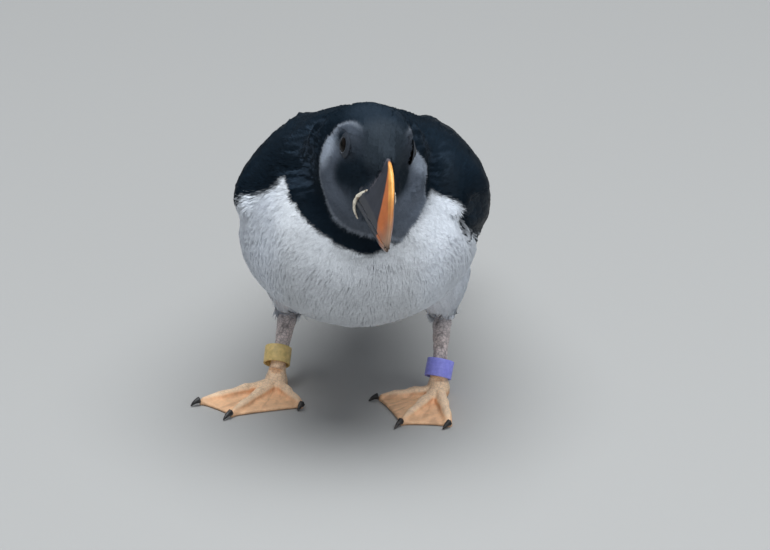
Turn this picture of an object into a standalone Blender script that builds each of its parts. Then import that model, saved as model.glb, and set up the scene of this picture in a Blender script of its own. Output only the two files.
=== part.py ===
"""Atlantic puffin, life size, standing still with its head drawn in and turned a little to its left.

Lengths are millimetres until a mesh is made. The bird faces -Y, its left side is +X, and its feet
stand on z = 0. The soft body is modelled whole, smoothed, and then parted by thin cuts into head,
neck, back and belly; the wings, tail and thighs are set into it. Every solid reaches out to the
feathers' tips.
"""

import math

import bmesh
import bpy
import numpy as np
from mathutils import Matrix, Vector

MM = 0.001
CUT = 0.4  # the thin cut left between two pieces that touch

# Trunk: for each station along the body its place, back, belly, half width and widest level.
TRUNK_STATIONS = (
    # y, back z, belly z, half width, widest z
    (-85.0, 88.0, 71.0, 9.0, 79.0),
    (-78.0, 103.0, 59.0, 27.0, 80.0),
    (-62.0, 115.5, 48.0, 39.5, 77.5),
    (-38.0, 122.0, 41.0, 44.5, 75.5),
    (-12.0, 117.5, 37.5, 43.0, 74.5),
    (13.0, 108.0, 36.5, 39.5, 73.5),
    (38.0, 95.5, 39.5, 32.5, 70.0),
    (61.0, 83.0, 45.5, 23.5, 66.5),
    (82.0, 71.5, 51.5, 14.5, 62.5),
    (97.0, 64.0, 51.5, 9.0, 58.5),
    (102.0, 61.0, 53.5, 5.0, 57.5),
)
BACK_SQUARENESS, BELLY_SQUARENESS = 2.05, 1.85
TRUNK_RINGS, TRUNK_SIDES = 28, 32
# The dark back and the white belly part along a plane that the folded wings cover: its y and z.
BACK_LINE = ((-60.0, 100.0), (72.0, 68.0))

# Neck: a short thick sleeve of feathers from the shoulders up to the back of the head.
NECK_STATIONS = (
    # centre x, y, z, half width, half depth
    (1.0, -28.0, 82.0, 27.0, 25.0),
    (2.0, -44.0, 95.0, 27.5, 26.0),
    (4.5, -56.0, 105.5, 26.0, 25.0),
    (8.0, -66.0, 113.0, 24.0, 22.5),
    (9.5, -71.0, 117.0, 21.0, 20.0),
)
NECK_RINGS, NECK_SIDES = 9, 24
NECK_ROOM_AT, NECK_ROOM_RADII = (4.0, -58.0, 106.0), (29.0, 33.0, 36.0)

# Head: its own frame has its origin midway between the eyes, -Y forward and +Z up.
HEAD_AT = (10.9, -81.0, 125.0)
HEAD_YAW, HEAD_PITCH, HEAD_ROLL = 16.5, 12.0, 11.5
HEAD_STATIONS = (
    # y, crown z, throat z, half width, widest z, squareness of the crown
    (-16.5, 4.0, -20.0, 3.8, -12.0, 2.0),
    (-11.5, 8.4, -25.5, 8.2, -13.5, 2.1),
    (-4.0, 12.6, -30.5, 13.6, -13.0, 2.35),
    (4.0, 13.9, -33.5, 18.2, -11.5, 1.9),
    (13.0, 11.4, -34.0, 20.6, -10.5, 1.8),
    (22.0, 6.5, -31.0, 20.0, -10.0, 1.8),
    (28.0, -1.0, -25.0, 15.0, -11.0, 1.9),
)
THROAT_SQUARENESS = 1.9
HEAD_RINGS, HEAD_SIDES = 16, 28
HEAD_ROOM_AT, HEAD_ROOM_RADII = (0.0, 1.0, -8.0), (26.0, 23.0, 31.0)
EYE_RADIUS, EYE_CENTRE = 4.4, (10.6, 0.0, 0.0)
EYE_SEGMENTS, EYE_RINGS = 12, 7

# The skin over trunk, neck and head: how finely it is remade, smoothed and thinned out again.
SKIN_VOXEL, SKIN_SMOOTHING, SKIN_SMOOTH_STEPS, SKIN_KEPT = 2.2, 0.5, 6, 0.048

# Bill: flat from side to side and deep at its base, like a pruning knife.
BILL_LENGTH, BILL_START = 28.5, -12.0
CULMEN_BASE_Z, TIP_Z, CHIN_BASE_Z = 4.6, -19.5, -24.0
CULMEN_ARCH, GONYS_ARCH = 2.6, 1.8
GAPE_BASE_Z, GAPE_GAP, GAPE_TIP_RISE = -14.5, 0.35, 1.0
BILL_HALF_WIDTH, BILL_TIP_HALF_WIDTH, BILL_TAPER = 6.6, 0.5, 1.05
CULMEN_HALF_WIDTH, CULMEN_NARROWING, CULMEN_ROUNDING = 1.2, 0.55, 0.6
BILL_RINGS, BILL_CROWDING, BILL_LEAST_HEIGHT = 12, 1.15, 0.5
# Across the bill: share of its half width, and of its height from the gape to the ridge.
BILL_SECTION = ((1.0, 0.0), (0.97, 0.22), (0.70, 0.45), (0.46, 0.68), (0.24, 0.90), (0.10, 1.0))

# Wing, folded: its upper and lower edge from the wrist back to the tips of the primaries.
WING_UPPER_EDGE = (
    (40.0, -58.0, 93.0),
    (30.0, -43.0, 111.0),
    (25.0, -10.0, 112.3),
    (17.0, 32.0, 97.8),
    (7.0, 76.0, 79.5),
    (5.0, 113.0, 65.0),
)
WING_LOWER_EDGE = (
    (40.5, -59.0, 90.0),
    (44.0, -46.0, 81.0),
    (43.5, -14.0, 69.0),
    (37.5, 32.0, 60.5),
    (22.5, 78.0, 60.5),
    (7.5, 112.0, 61.5),
)
# The right wing is tucked up behind the flank; the left one is held a little away from the body.
WING_BULGE = {"left": 13.5, "right": 8.6}
WING_FRONT_LIFT = {"left": 1.0, "right": 6.5}
WING_THICKNESS, WING_TIP_THICKNESS = 7.0, 1.6
WING_RINGS, WING_STRIPS = 17, 7
WING_FULLNESS, WING_EDGE_SHARE, WING_OUTWARD_RISE = 0.75, 0.30, 0.3
WRIST_ROUNDING, WING_TAPER, LIFT_START = 3.5, 0.55, 5.0

# Tail: a short fan that goes on along the slope of the rump.
TAIL_ROOT, TAIL_TIP = (0.0, 72.0, 68.0), (0.0, 124.0, 50.5)
TAIL_HALF_WIDTHS, TAIL_THICKNESS, TAIL_ARCH = (11.0, 15.5, 18.5, 16.0), 3.0, 3.0
TAIL_THINNING, TAIL_SIDE_THINNING, TAIL_END_ROUNDING = 0.55, 0.6, 5.0
TAIL_RINGS, TAIL_STRIPS = 7, 8

# Legs: right and left, each from the floor up.
ANKLES = {"right": (-34.2, -2.8, 5.2), "left": (26.9, -4.9, 5.2)}
HEELS = {"right": (-30.9, 14.5, 26.3), "left": (27.4, 8.4, 28.6)}
THIGH_TOPS = {"right": (-26.0, -5.0, 56.0), "left": (25.0, -7.0, 57.0)}
# Share of the way down, and radius.
THIGH_STATIONS = ((0.0, 13.5), (0.30, 12.8), (0.60, 10.0), (0.84, 6.6), (1.0, 4.4))
TARSUS_STATIONS = ((0.0, 2.9), (0.14, 3.6), (0.32, 3.1), (0.55, 2.6), (0.80, 2.7), (0.93, 3.3))
TARSUS_START, TARSUS_DEPTH = 0.8, 1.2
THIGH_SIDES, TARSUS_SIDES = 14, 10

# Feet: each toe has a heading, measured from straight ahead towards the bird's left, and a length.
TOE_HEADINGS = {
    "right": {"inner": 30.0, "middle": -24.0, "outer": -54.0},
    "left": {"inner": -71.0, "middle": -19.0, "outer": 12.0},
}
# Share of the toe's length, and how much it swells there.
KNUCKLES = ((0, 1.0), (0.3, 0.9), (0.42, 1.05), (0.58, 0.88), (0.74, 1.0), (0.96, 0.8), (1.0, 0.5))
TOE_LENGTHS = {"inner": 22.8, "middle": 33.8, "outer": 32.8}
TOE_RADIUS, TOE_TIP_RADIUS, TOE_SIDES, TOE_SINK, TOE_HEIGHT = 2.6, 1.6, 8, 0.95, 1.05
WEB_THICKNESS, WEB_SAG, WEB_LEVEL, WEB_REACH = 1.1, 0.02, 0.25, 0.99
WEB_STEPS = (0.25, 0.5, 0.75)
# The pad under the ankle: height above the floor and radius. Above PAD_LEVEL it leans to the heel.
PAD_STATIONS = ((0.05, 3.4), (1.6, 4.1), (3.6, 4.2), (5.4, 3.7), (6.6, 3.2))
PAD_LEVEL, PAD_LEAN, PAD_SIDES = 3.6, 0.45, 12
CLAW_LENGTHS = {"inner": 3.7, "middle": 4.7, "outer": 3.8}
CLAW_TURNS = {
    "right": {"inner": -50.0, "middle": -8.0, "outer": 0.0},
    "left": {"inner": 0.0, "middle": -8.0, "outer": -50.0},
}
CLAW_RADIUS, CLAW_TIP_RADIUS, CLAW_TAPER = 1.15, 0.25, 0.8
CLAW_LEVEL, CLAW_DROP, CLAW_RINGS, CLAW_SIDES = 2.1, 1.7, 5, 6

# Leg rings: plain plastic bands that lie loosely above the ankles.
RING_INNER, RING_OUTER, RING_HEIGHT = 4.3, 5.0, 6.6
RING_PLACES = {"right": 0.29, "left": 0.20}
RING_SHIFTS = {"right": -0.9, "left": 0.0}
RING_TIPS = {"right": -5.0, "left": 9.0}
RING_SIDES, RING_SHARP_ANGLE = 20, 35.0


# ---------------------------------------------------------------- small tools for meshes


def material(name, colour, roughness, metallic=0.0):
    made = bpy.data.materials.new(name)
    made.use_nodes = True
    surface = made.node_tree.nodes["Principled BSDF"]
    surface.inputs["Base Color"].default_value = (*colour, 1.0)
    surface.inputs["Roughness"].default_value = roughness
    surface.inputs["Metallic"].default_value = metallic
    made.diffuse_color = (*colour, 1.0)
    return made


def add_object(name, mesh, finish=None):
    made = bpy.data.objects.new(name, mesh)
    bpy.context.scene.collection.objects.link(made)
    if finish:
        mesh.materials.append(finish)
    mesh.shade_smooth()
    return made


def loft(name, rings, finish=None):
    """One closed body through rings of equally many points, in millimetres."""
    made = bmesh.new()
    loops = [[made.verts.new(Vector(p) * MM) for p in ring] for ring in rings]
    for near, far in zip(loops, loops[1:]):
        for i in range(len(near)):
            j = (i + 1) % len(near)
            made.faces.new((near[i], near[j], far[j], far[i]))
    made.faces.new(reversed(loops[0]))
    made.faces.new(loops[-1])
    bmesh.ops.recalc_face_normals(made, faces=made.faces)
    mesh = bpy.data.meshes.new(name)
    made.to_mesh(mesh)
    made.free()
    return add_object(name, mesh, finish)


def stations(table, count):
    """The rows of a station table, read from a smooth curve through them at even steps."""
    table = np.array(table, float)
    knots = np.arange(len(table))
    slopes = np.gradient(table, axis=0)
    rows = []
    for place in np.linspace(0, len(table) - 1, count):
        k = min(int(place), len(table) - 2)
        t = place - knots[k]
        rows.append(
            (2 * t**3 - 3 * t**2 + 1) * table[k]
            + (t**3 - 2 * t**2 + t) * slopes[k]
            + (3 * t**2 - 2 * t**3) * table[k + 1]
            + (t**3 - t**2) * slopes[k + 1]
        )
    return rows


def rounded_section(half_width, top, bottom, widest, squareness, count):
    """(x, z) points of an egg-like section, anticlockwise from +X.

    squareness is that of its upper and of its lower half, where 2 is an ellipse.
    """
    points = []
    for i in range(count):
        angle = 2 * math.pi * i / count
        c, s = math.cos(angle), math.sin(angle)
        power = 2 / squareness[0 if s > 0 else 1]
        x = half_width * math.copysign(abs(c) ** power, c)
        reach = top - widest if s > 0 else widest - bottom
        z = widest + reach * math.copysign(abs(s) ** power, s)
        points.append((x, z))
    return points


def tube(name, centres, radii, sides, finish=None, flatten=1.0, side_hint=(1, 0, 0)):
    """A tapered tube along centres. flatten scales it across side_hint."""
    rings = []
    for i, centre in enumerate(centres):
        before, after = centres[max(i - 1, 0)], centres[min(i + 1, len(centres) - 1)]
        along = (Vector(after) - Vector(before)).normalized()
        across = (Vector(side_hint) - along * along.dot(Vector(side_hint))).normalized()
        front = along.cross(across)
        ring = []
        for k in range(sides):
            angle = 2 * math.pi * k / sides
            ring.append(
                Vector(centre)
                + across * math.cos(angle) * radii[i]
                + front * math.sin(angle) * radii[i] * flatten
            )
        rings.append(ring)
    return loft(name, rings, finish)


def evaluated(obj):
    """Replaces the object's mesh by what its modifiers make of it."""
    graph = bpy.context.evaluated_depsgraph_get()
    mesh = bpy.data.meshes.new_from_object(obj.evaluated_get(graph))
    obj.modifiers.clear()
    obj.data = mesh
    return obj


def copy_of(obj, name, finish=None):
    mesh = obj.data.copy()
    mesh.materials.clear()
    return add_object(name, mesh, finish)


def grown(obj, by=CUT):
    """A helper a little larger than the object all round."""
    helper = copy_of(obj, obj.name + "_room")
    push = helper.modifiers.new("push", "DISPLACE")
    push.strength = by * MM
    push.mid_level = 0.0
    return hidden(evaluated(helper))


def hidden(obj):
    obj.hide_render = True
    obj.display_type = "WIRE"
    return obj


def combine(obj, other, operation):
    step = obj.modifiers.new(operation.lower(), "BOOLEAN")
    step.operation = operation
    step.solver = "EXACT"
    step.object = other
    return evaluated(obj)


def make_room(obj, *others):
    """Cuts the others, and a thin gap round them, out of the object."""
    for other in others:
        helper = grown(other)
        combine(obj, helper, "DIFFERENCE")
        bpy.data.objects.remove(helper)


def keep_main_body(obj):
    """Drops the slivers that a cut has left beside the piece."""
    bm = bmesh.new()
    bm.from_mesh(obj.data)
    islands, seen = [], set()
    for start in bm.verts:
        if start in seen:
            continue
        island, queue = [], [start]
        seen.add(start)
        while queue:
            spot = queue.pop()
            island.append(spot)
            for edge in spot.link_edges:
                other = edge.other_vert(spot)
                if other not in seen:
                    seen.add(other)
                    queue.append(other)
        islands.append(island)
    main = max(islands, key=len)
    stray = [spot for island in islands if island is not main for spot in island]
    bmesh.ops.delete(bm, geom=stray, context="VERTS")
    bm.to_mesh(obj.data)
    bm.free()


def drop(*objects):
    for obj in objects:
        bpy.data.objects.remove(obj)


def head_frame():
    turn = Matrix.Rotation(math.radians(HEAD_YAW), 4, "Z")
    nod = Matrix.Rotation(math.radians(HEAD_PITCH), 4, "X")
    tilt = Matrix.Rotation(math.radians(HEAD_ROLL), 4, "Y")
    return Matrix.Translation(HEAD_AT) @ turn @ nod @ tilt


def in_head(points):
    frame = head_frame()
    return [frame @ Vector(p) for p in points]


for startup in list(bpy.data.objects):
    bpy.data.objects.remove(startup)

BLACK = material("black plumage", (0.018, 0.019, 0.024), 0.55)
WHITE = material("white plumage", (0.80, 0.82, 0.84), 0.70)
GREY = material("grey face", (0.17, 0.16, 0.17), 0.65)
FOOT = material("orange foot skin", (0.80, 0.46, 0.26), 0.50)
SHANK = material("grey shank skin", (0.46, 0.40, 0.36), 0.60)
HORN = material("orange horn", (0.78, 0.24, 0.05), 0.35)
CLAW = material("black claw", (0.02, 0.02, 0.022), 0.35)
EYE = material("dark eye", (0.012, 0.010, 0.010), 0.08)
YELLOW = material("yellow leg ring", (0.72, 0.56, 0.13), 0.45)
PURPLE = material("purple leg ring", (0.38, 0.31, 0.75), 0.45)


# ---------------------------------------------------------------- the soft body, whole


def trunk_form():
    rings = []
    for y, top, bottom, half_width, widest in stations(TRUNK_STATIONS, TRUNK_RINGS):
        shape = (BACK_SQUARENESS, BELLY_SQUARENESS)
        flat = rounded_section(half_width, top, bottom, widest, shape, TRUNK_SIDES)
        rings.append([(x, y, z) for x, z in flat])
    return loft("trunk_form", rings)


def neck_form():
    rows = stations(NECK_STATIONS, NECK_RINGS)
    rings = []
    for i, (x, y, z, half_width, half_depth) in enumerate(rows):
        before, after = rows[max(i - 1, 0)], rows[min(i + 1, len(rows) - 1)]
        along = Vector(after[:3]) - Vector(before[:3])
        along.normalize()
        across = Vector((1, 0, 0)) - along * along.x
        across.normalize()
        front = along.cross(across)
        ring = []
        for k in range(NECK_SIDES):
            angle = 2 * math.pi * k / NECK_SIDES
            ring.append(
                Vector((x, y, z))
                + across * half_width * math.cos(angle)
                + front * half_depth * math.sin(angle)
            )
        rings.append(ring)
    return loft("neck_form", rings)


def head_form():
    rings = []
    for y, crown, throat, half_width, widest, crown_shape in stations(HEAD_STATIONS, HEAD_RINGS):
        shape = (crown_shape, THROAT_SQUARENESS)
        flat = rounded_section(half_width, crown, throat, widest, shape, HEAD_SIDES)
        rings.append(in_head([(x, y, z) for x, z in flat]))
    return loft("head_form", rings)


def soft_body():
    """Trunk, neck and head melted into one smooth skin of feathers."""
    whole = trunk_form()
    neck, head = neck_form(), head_form()
    combine(whole, neck, "UNION")
    combine(whole, head, "UNION")
    drop(neck, head)
    remesh = whole.modifiers.new("even skin", "REMESH")
    remesh.mode = "VOXEL"
    remesh.voxel_size = SKIN_VOXEL * MM
    smooth = whole.modifiers.new("soft joins", "SMOOTH")
    smooth.factor = SKIN_SMOOTHING
    smooth.iterations = SKIN_SMOOTH_STEPS
    fewer = whole.modifiers.new("fewer faces", "DECIMATE")
    fewer.ratio = SKIN_KEPT
    return evaluated(whole)


# ---------------------------------------------------------------- pieces set into it


def bill_half(name, side, finish):
    """side is 1 for the upper half and -1 for the lower."""
    rings = []
    for i in range(BILL_RINGS):
        t = i / (BILL_RINGS - 1)
        y = BILL_START - BILL_LENGTH * (1 - (1 - t) ** BILL_CROWDING)
        gape = GAPE_BASE_Z + (TIP_Z + GAPE_TIP_RISE - GAPE_BASE_Z) * t
        if side > 0:
            edge = CULMEN_BASE_Z + (TIP_Z - CULMEN_BASE_Z) * t**CULMEN_ARCH
        else:
            edge = CHIN_BASE_Z + (TIP_Z - CHIN_BASE_Z) * t**GONYS_ARCH
        half_width = BILL_HALF_WIDTH * (1 - t) ** BILL_TAPER + BILL_TIP_HALF_WIDTH
        ridge = CULMEN_HALF_WIDTH * (1 - CULMEN_NARROWING * t)
        near = gape + side * GAPE_GAP / 2
        reach = max((edge - near) * side, BILL_LEAST_HEIGHT)
        ring = []
        for share, rise in BILL_SECTION:
            least = ridge * CULMEN_ROUNDING if rise == 1.0 else ridge
            ring.append((max(half_width * share, least), near + side * reach * rise))
        flat = ring + [(-x, z) for x, z in reversed(ring)]
        rings.append(in_head([(x, y, z) for x, z in flat]))
    return loft(name, rings, finish)


def eye(side):
    bm = bmesh.new()
    bmesh.ops.create_uvsphere(
        bm, u_segments=EYE_SEGMENTS, v_segments=EYE_RINGS, radius=EYE_RADIUS * MM
    )
    mesh = bpy.data.meshes.new("eye")
    bm.to_mesh(mesh)
    bm.free()
    made = add_object("eye_left" if side > 0 else "eye_right", mesh, EYE)
    place = head_frame() @ Matrix.Translation((side * EYE_CENTRE[0], *EYE_CENTRE[1:]))
    turn = place @ Matrix.Rotation(math.radians(90), 4, "Y")
    turn.translation *= MM
    mesh.transform(turn)
    return made


def wing(side):
    """A shell that lies on the body's side, round at the wrist and thin at the tip."""
    sign = 1 if side == "left" else -1
    upper = stations(WING_UPPER_EDGE, WING_RINGS)
    lower = stations(WING_LOWER_EDGE, WING_RINGS)
    rings = []
    for i in range(WING_RINGS):
        t = i / (WING_RINGS - 1)
        top, bottom = Vector(upper[i]), Vector(lower[i])
        bottom.z += WING_FRONT_LIFT[side] * min(1.0, LIFT_START * t) * (1 - t) ** 2
        fade = math.sqrt(min(1.0, WRIST_ROUNDING * t + 0.02)) * (1 - t) ** WING_TAPER
        outward = Vector((1.0, 0.0, WING_OUTWARD_RISE)).normalized()
        thick = WING_TIP_THICKNESS + (WING_THICKNESS - WING_TIP_THICKNESS) * fade
        outer, inner = [], []
        for k in range(WING_STRIPS + 1):
            v = k / WING_STRIPS
            arch = max(0.0, math.sin(math.pi * v)) ** WING_FULLNESS
            place = top.lerp(bottom, v) + outward * (WING_BULGE[side] * fade * arch)
            outer.append(place)
            inner.append(place - outward * thick * (WING_EDGE_SHARE + (1 - WING_EDGE_SHARE) * arch))
        ring = outer + inner[::-1]
        rings.append([Vector((sign * p.x, p.y, p.z)) for p in ring])
    return loft("wing_" + side, rings, BLACK)


def tail():
    root, tip = Vector(TAIL_ROOT), Vector(TAIL_TIP)
    along = (tip - root).normalized()
    up = along.cross(Vector((-1, 0, 0))).normalized()
    rings = []
    rows = stations([(w,) for w in TAIL_HALF_WIDTHS], TAIL_RINGS)
    for i, (half_width,) in enumerate(rows):
        t = i / (TAIL_RINGS - 1)
        centre = root.lerp(tip, t)
        rounding = TAIL_END_ROUNDING if i == TAIL_RINGS - 1 else 0.0
        over, under = [], []
        for k in range(TAIL_STRIPS + 1):
            v = 2 * k / TAIL_STRIPS - 1
            place = centre + Vector((half_width * v, 0, 0)) - (up * TAIL_ARCH + along * rounding) * v * v
            thick = TAIL_THICKNESS * (1 - TAIL_THINNING * t) * (1 - TAIL_SIDE_THINNING * v * v)
            over.append(place + up * thick / 2)
            under.append(place - up * thick / 2)
        rings.append(over + under[::-1])
    return loft("tail", rings, BLACK)


def thigh(side):
    top, heel = Vector(THIGH_TOPS[side]), Vector(HEELS[side])
    centres = [top.lerp(heel, t) for t, _ in THIGH_STATIONS]
    radii = [radius for _, radius in THIGH_STATIONS]
    return tube("thigh_" + side, centres, radii, THIGH_SIDES, WHITE)


def tarsus(side):
    heel, ankle = Vector(HEELS[side]), Vector(ANKLES[side])
    start = heel + (ankle - heel).normalized() * TARSUS_START
    centres = [start.lerp(ankle, t) for t, _ in TARSUS_STATIONS]
    radii = [radius for _, radius in TARSUS_STATIONS]
    return tube("tarsus_" + side, centres, radii, TARSUS_SIDES, SHANK, flatten=TARSUS_DEPTH)


def heading(angle):
    turn = math.radians(angle)
    return Vector((math.sin(turn), -math.cos(turn), 0))


def toe_form(start, end):
    """One toe with its knuckles, flat underneath where it bears on the floor."""
    rings = []
    along = (end - start).normalized()
    across = Vector((-along.y, along.x, 0))
    for t, swell in KNUCKLES:
        centre = start.lerp(end, t)
        radius = (TOE_RADIUS + (TOE_TIP_RADIUS - TOE_RADIUS) * t) * swell
        ring = []
        for k in range(TOE_SIDES):
            angle = 2 * math.pi * (k + 0.5) / TOE_SIDES
            height = radius * (TOE_SINK + TOE_HEIGHT * math.sin(angle))
            level = Vector((0, 0, max(height, 0.0)))
            ring.append(centre + across * radius * math.cos(angle) + level)
        rings.append(ring)
    return loft("toe", rings)


def web_form(side, ankle, ends):
    """The thin skin between the toes, its front edge drawn in a little between each two."""
    toes = list(TOE_LENGTHS)
    outline = [ankle, ankle.lerp(ends[toes[0]], WEB_REACH)]
    for toe, following in zip(toes, toes[1:]):
        for t in WEB_STEPS:
            sag = WEB_SAG * 4 * t * (1 - t)
            outline.append(ankle.lerp(ends[toe].lerp(ends[following], t), WEB_REACH - sag))
        outline.append(ankle.lerp(ends[following], WEB_REACH))
    levels = (WEB_LEVEL, WEB_LEVEL + WEB_THICKNESS)
    return loft("foot_" + side, [[p + Vector((0, 0, z)) for p in outline] for z in levels], FOOT)


def ankle_pad(side):
    """Where the toes meet: it rises from the floor and leans back into the shank."""
    ankle = Vector(ANKLES[side])
    lean = (Vector(HEELS[side]) - ankle).normalized()
    rings = []
    for height, radius in PAD_STATIONS:
        shift = lean * max(0.0, height - PAD_LEVEL) * PAD_LEAN
        centre = Vector((ankle.x + shift.x, ankle.y + shift.y, height))
        ring = []
        for k in range(PAD_SIDES):
            angle = 2 * math.pi * k / PAD_SIDES
            ring.append(centre + Vector((math.cos(angle), math.sin(angle), 0)) * radius)
        rings.append(ring)
    return loft("pad", rings)


def foot(side):
    """Three toes joined by thin webs, and the pad under the ankle."""
    ankle = Vector((*ANKLES[side][:2], 0))
    ways = {toe: heading(angle) for toe, angle in TOE_HEADINGS[side].items()}
    ends = {toe: ankle + ways[toe] * length for toe, length in TOE_LENGTHS.items()}
    web = web_form(side, ankle, ends)
    for toe in TOE_LENGTHS:
        form = toe_form(ankle - ways[toe], ends[toe])
        combine(web, form, "UNION")
        drop(form)
    pad = ankle_pad(side)
    combine(web, pad, "UNION")
    drop(pad)
    return web


def claw(side, toe):
    ankle = Vector((*ANKLES[side][:2], CLAW_LEVEL))
    start = ankle + heading(TOE_HEADINGS[side][toe]) * (TOE_LENGTHS[toe] + CUT)
    way = heading(TOE_HEADINGS[side][toe] + CLAW_TURNS[side][toe])
    centres, radii = [], []
    for i in range(CLAW_RINGS):
        t = i / (CLAW_RINGS - 1)
        centres.append(start + way * CLAW_LENGTHS[toe] * t - Vector((0, 0, CLAW_DROP * t * t)))
        radii.append(CLAW_RADIUS * (1 - t) ** CLAW_TAPER + CLAW_TIP_RADIUS)
    return tube(f"claw_{side}_{toe}", centres, radii, CLAW_SIDES, CLAW)


def leg_ring(side, name, finish):
    heel, ankle = Vector(HEELS[side]), Vector(ANKLES[side])
    axis = (heel - ankle).normalized()
    axis.rotate(Matrix.Rotation(math.radians(RING_TIPS[side]), 3, "Y"))
    centre = ankle.lerp(heel, RING_PLACES[side]) + Vector((RING_SHIFTS[side], 0, 0))
    across = Vector((1, 0, 0)) - axis * axis.x
    across.normalize()
    front = axis.cross(across)
    profile = ((RING_INNER, -1), (RING_OUTER, -1), (RING_OUTER, 1), (RING_INNER, 1))
    bm = bmesh.new()
    loops = []
    for radius, end in profile:
        loop = []
        for k in range(RING_SIDES):
            angle = 2 * math.pi * k / RING_SIDES
            spot = across * radius * math.cos(angle) + front * radius * math.sin(angle)
            loop.append(bm.verts.new((centre + spot + axis * end * RING_HEIGHT / 2) * MM))
        loops.append(loop)
    for k, near in enumerate(loops):
        far = loops[(k + 1) % len(loops)]
        for i in range(RING_SIDES):
            j = (i + 1) % RING_SIDES
            bm.faces.new((near[i], near[j], far[j], far[i]))
    bmesh.ops.recalc_face_normals(bm, faces=bm.faces)
    mesh = bpy.data.meshes.new(name)
    bm.to_mesh(mesh)
    bm.free()
    made = add_object(name, mesh, finish)
    mesh.set_sharp_from_angle(angle=math.radians(RING_SHARP_ANGLE))
    return made


# ---------------------------------------------------------------- the bird put together


def egg(name, centre, radii, frame=Matrix.Identity(4)):
    """A helper whose surface is the cut between two pieces."""
    bm = bmesh.new()
    bmesh.ops.create_uvsphere(bm, u_segments=24, v_segments=16, radius=1.0)
    shape = frame @ Matrix.Translation(centre) @ Matrix.Diagonal((*radii, 1.0))
    bmesh.ops.transform(bm, matrix=Matrix.Scale(MM, 4) @ shape, verts=bm.verts)
    mesh = bpy.data.meshes.new(name)
    bm.to_mesh(mesh)
    bm.free()
    return hidden(add_object(name, mesh))


def above_back_line():
    """A helper that fills all the room over the plane between back and belly."""
    (front_y, front_z), (rear_y, rear_z) = BACK_LINE
    rise = (rear_z - front_z) / (rear_y - front_y)
    half_width, far, height = 80.0, 200.0, 120.0
    rings = []
    for y in (-far, far):
        level = front_z + (y - front_y) * rise
        corners = ((-1, 0), (1, 0), (1, 1), (-1, 1))
        rings.append([(half_width * x, y, level + height * z) for x, z in corners])
    return hidden(loft("back_room", rings))


wings = [wing("left"), wing("right")]
tail_fan = tail()
thighs = [thigh("right"), thigh("left")]
tarsi = [tarsus("right"), tarsus("left")]
feet = [foot("right"), foot("left")]
bill = [bill_half("bill_upper", 1, HORN), bill_half("bill_lower", -1, HORN)]
eyes = [eye(1), eye(-1)]
for side, web in zip(ANKLES, feet):
    make_room(web, *[claw(side, toe) for toe in TOE_LENGTHS])
leg_ring("right", "leg_ring_right", YELLOW)
leg_ring("left", "leg_ring_left", PURPLE)
make_room(tail_fan, *wings)

whole = soft_body()
head_room = egg("head_room", HEAD_ROOM_AT, HEAD_ROOM_RADII, head_frame())
neck_room = egg("neck_room", NECK_ROOM_AT, NECK_ROOM_RADII)
back_room = above_back_line()

head = copy_of(whole, "head", BLACK)
combine(head, head_room, "INTERSECT")
make_room(head, *bill, *eyes)

neck = copy_of(whole, "neck", BLACK)
make_room(neck, head_room)
combine(neck, neck_room, "INTERSECT")
make_room(neck, *wings)

belly = copy_of(whole, "belly", WHITE)
make_room(belly, head_room, neck_room, back_room, tail_fan, *wings, *thighs)
keep_main_body(belly)

back = copy_of(whole, "back", BLACK)
combine(back, back_room, "INTERSECT")
make_room(back, head_room, neck_room, tail_fan, *wings)
keep_main_body(back)
drop(whole, head_room, neck_room, back_room)

for thigh_piece, shank in zip(thighs, tarsi):
    make_room(thigh_piece, shank, *wings)
for shank, web in zip(tarsi, feet):
    make_room(shank, web)


def stand_on_origin():
    """Moves every piece so that the bird's box stands centred on the origin."""
    pieces = [obj for obj in bpy.data.objects if obj.type == "MESH"]
    corners = np.array([obj.matrix_world @ Vector(c) for obj in pieces for c in obj.bound_box])
    low, high = corners.min(axis=0), corners.max(axis=0)
    middle = Vector((*(low + high)[:2] / 2, low[2]))
    for obj in pieces:
        obj.data.transform(Matrix.Translation(-middle))


stand_on_origin()
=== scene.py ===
"""An Atlantic puffin in winter dress, standing at rest and looking ahead, built over its CAD frame.

The bird's own measures are millimetres from the point on the floor between its feet: +X is its left,
-Y is ahead of it and +Z is up. The head's own measures start from the point between the eyes.
"""

import math

import bmesh
import bpy
import numpy as np
from mathutils import Matrix, Vector
from mathutils.bvhtree import BVHTree


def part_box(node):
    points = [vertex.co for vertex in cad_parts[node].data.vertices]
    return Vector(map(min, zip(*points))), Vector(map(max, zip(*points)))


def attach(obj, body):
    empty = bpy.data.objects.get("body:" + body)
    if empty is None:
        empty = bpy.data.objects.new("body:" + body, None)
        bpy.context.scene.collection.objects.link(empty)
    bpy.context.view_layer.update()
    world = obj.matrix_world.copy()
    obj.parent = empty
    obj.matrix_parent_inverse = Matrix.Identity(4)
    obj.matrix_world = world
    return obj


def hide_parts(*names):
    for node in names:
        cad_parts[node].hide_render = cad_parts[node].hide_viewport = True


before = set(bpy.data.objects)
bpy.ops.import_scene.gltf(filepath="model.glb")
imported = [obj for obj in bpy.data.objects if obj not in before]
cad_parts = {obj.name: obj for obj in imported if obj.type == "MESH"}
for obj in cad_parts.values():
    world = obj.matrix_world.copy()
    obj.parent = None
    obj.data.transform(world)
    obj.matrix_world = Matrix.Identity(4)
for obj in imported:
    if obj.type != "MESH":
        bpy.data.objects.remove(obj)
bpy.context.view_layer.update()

# ----------------------------------------
# The room: a plain pale floor, a broad soft light from above like an overcast sky, and a camera a
# little above the bird and ahead of it.
# ----------------------------------------
MM = 0.001
HEAD_OVER_GROUND = Vector((10.9, -81.0, 125.0))
CAMERA_AIM = Vector((9.5, -35.0, 58.8))
CAMERA_TURN, CAMERA_RISE, CAMERA_AWAY, CAMERA_LENS, FILM_WIDTH = 5.0, 20.4, 4.43, 560, 36
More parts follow.
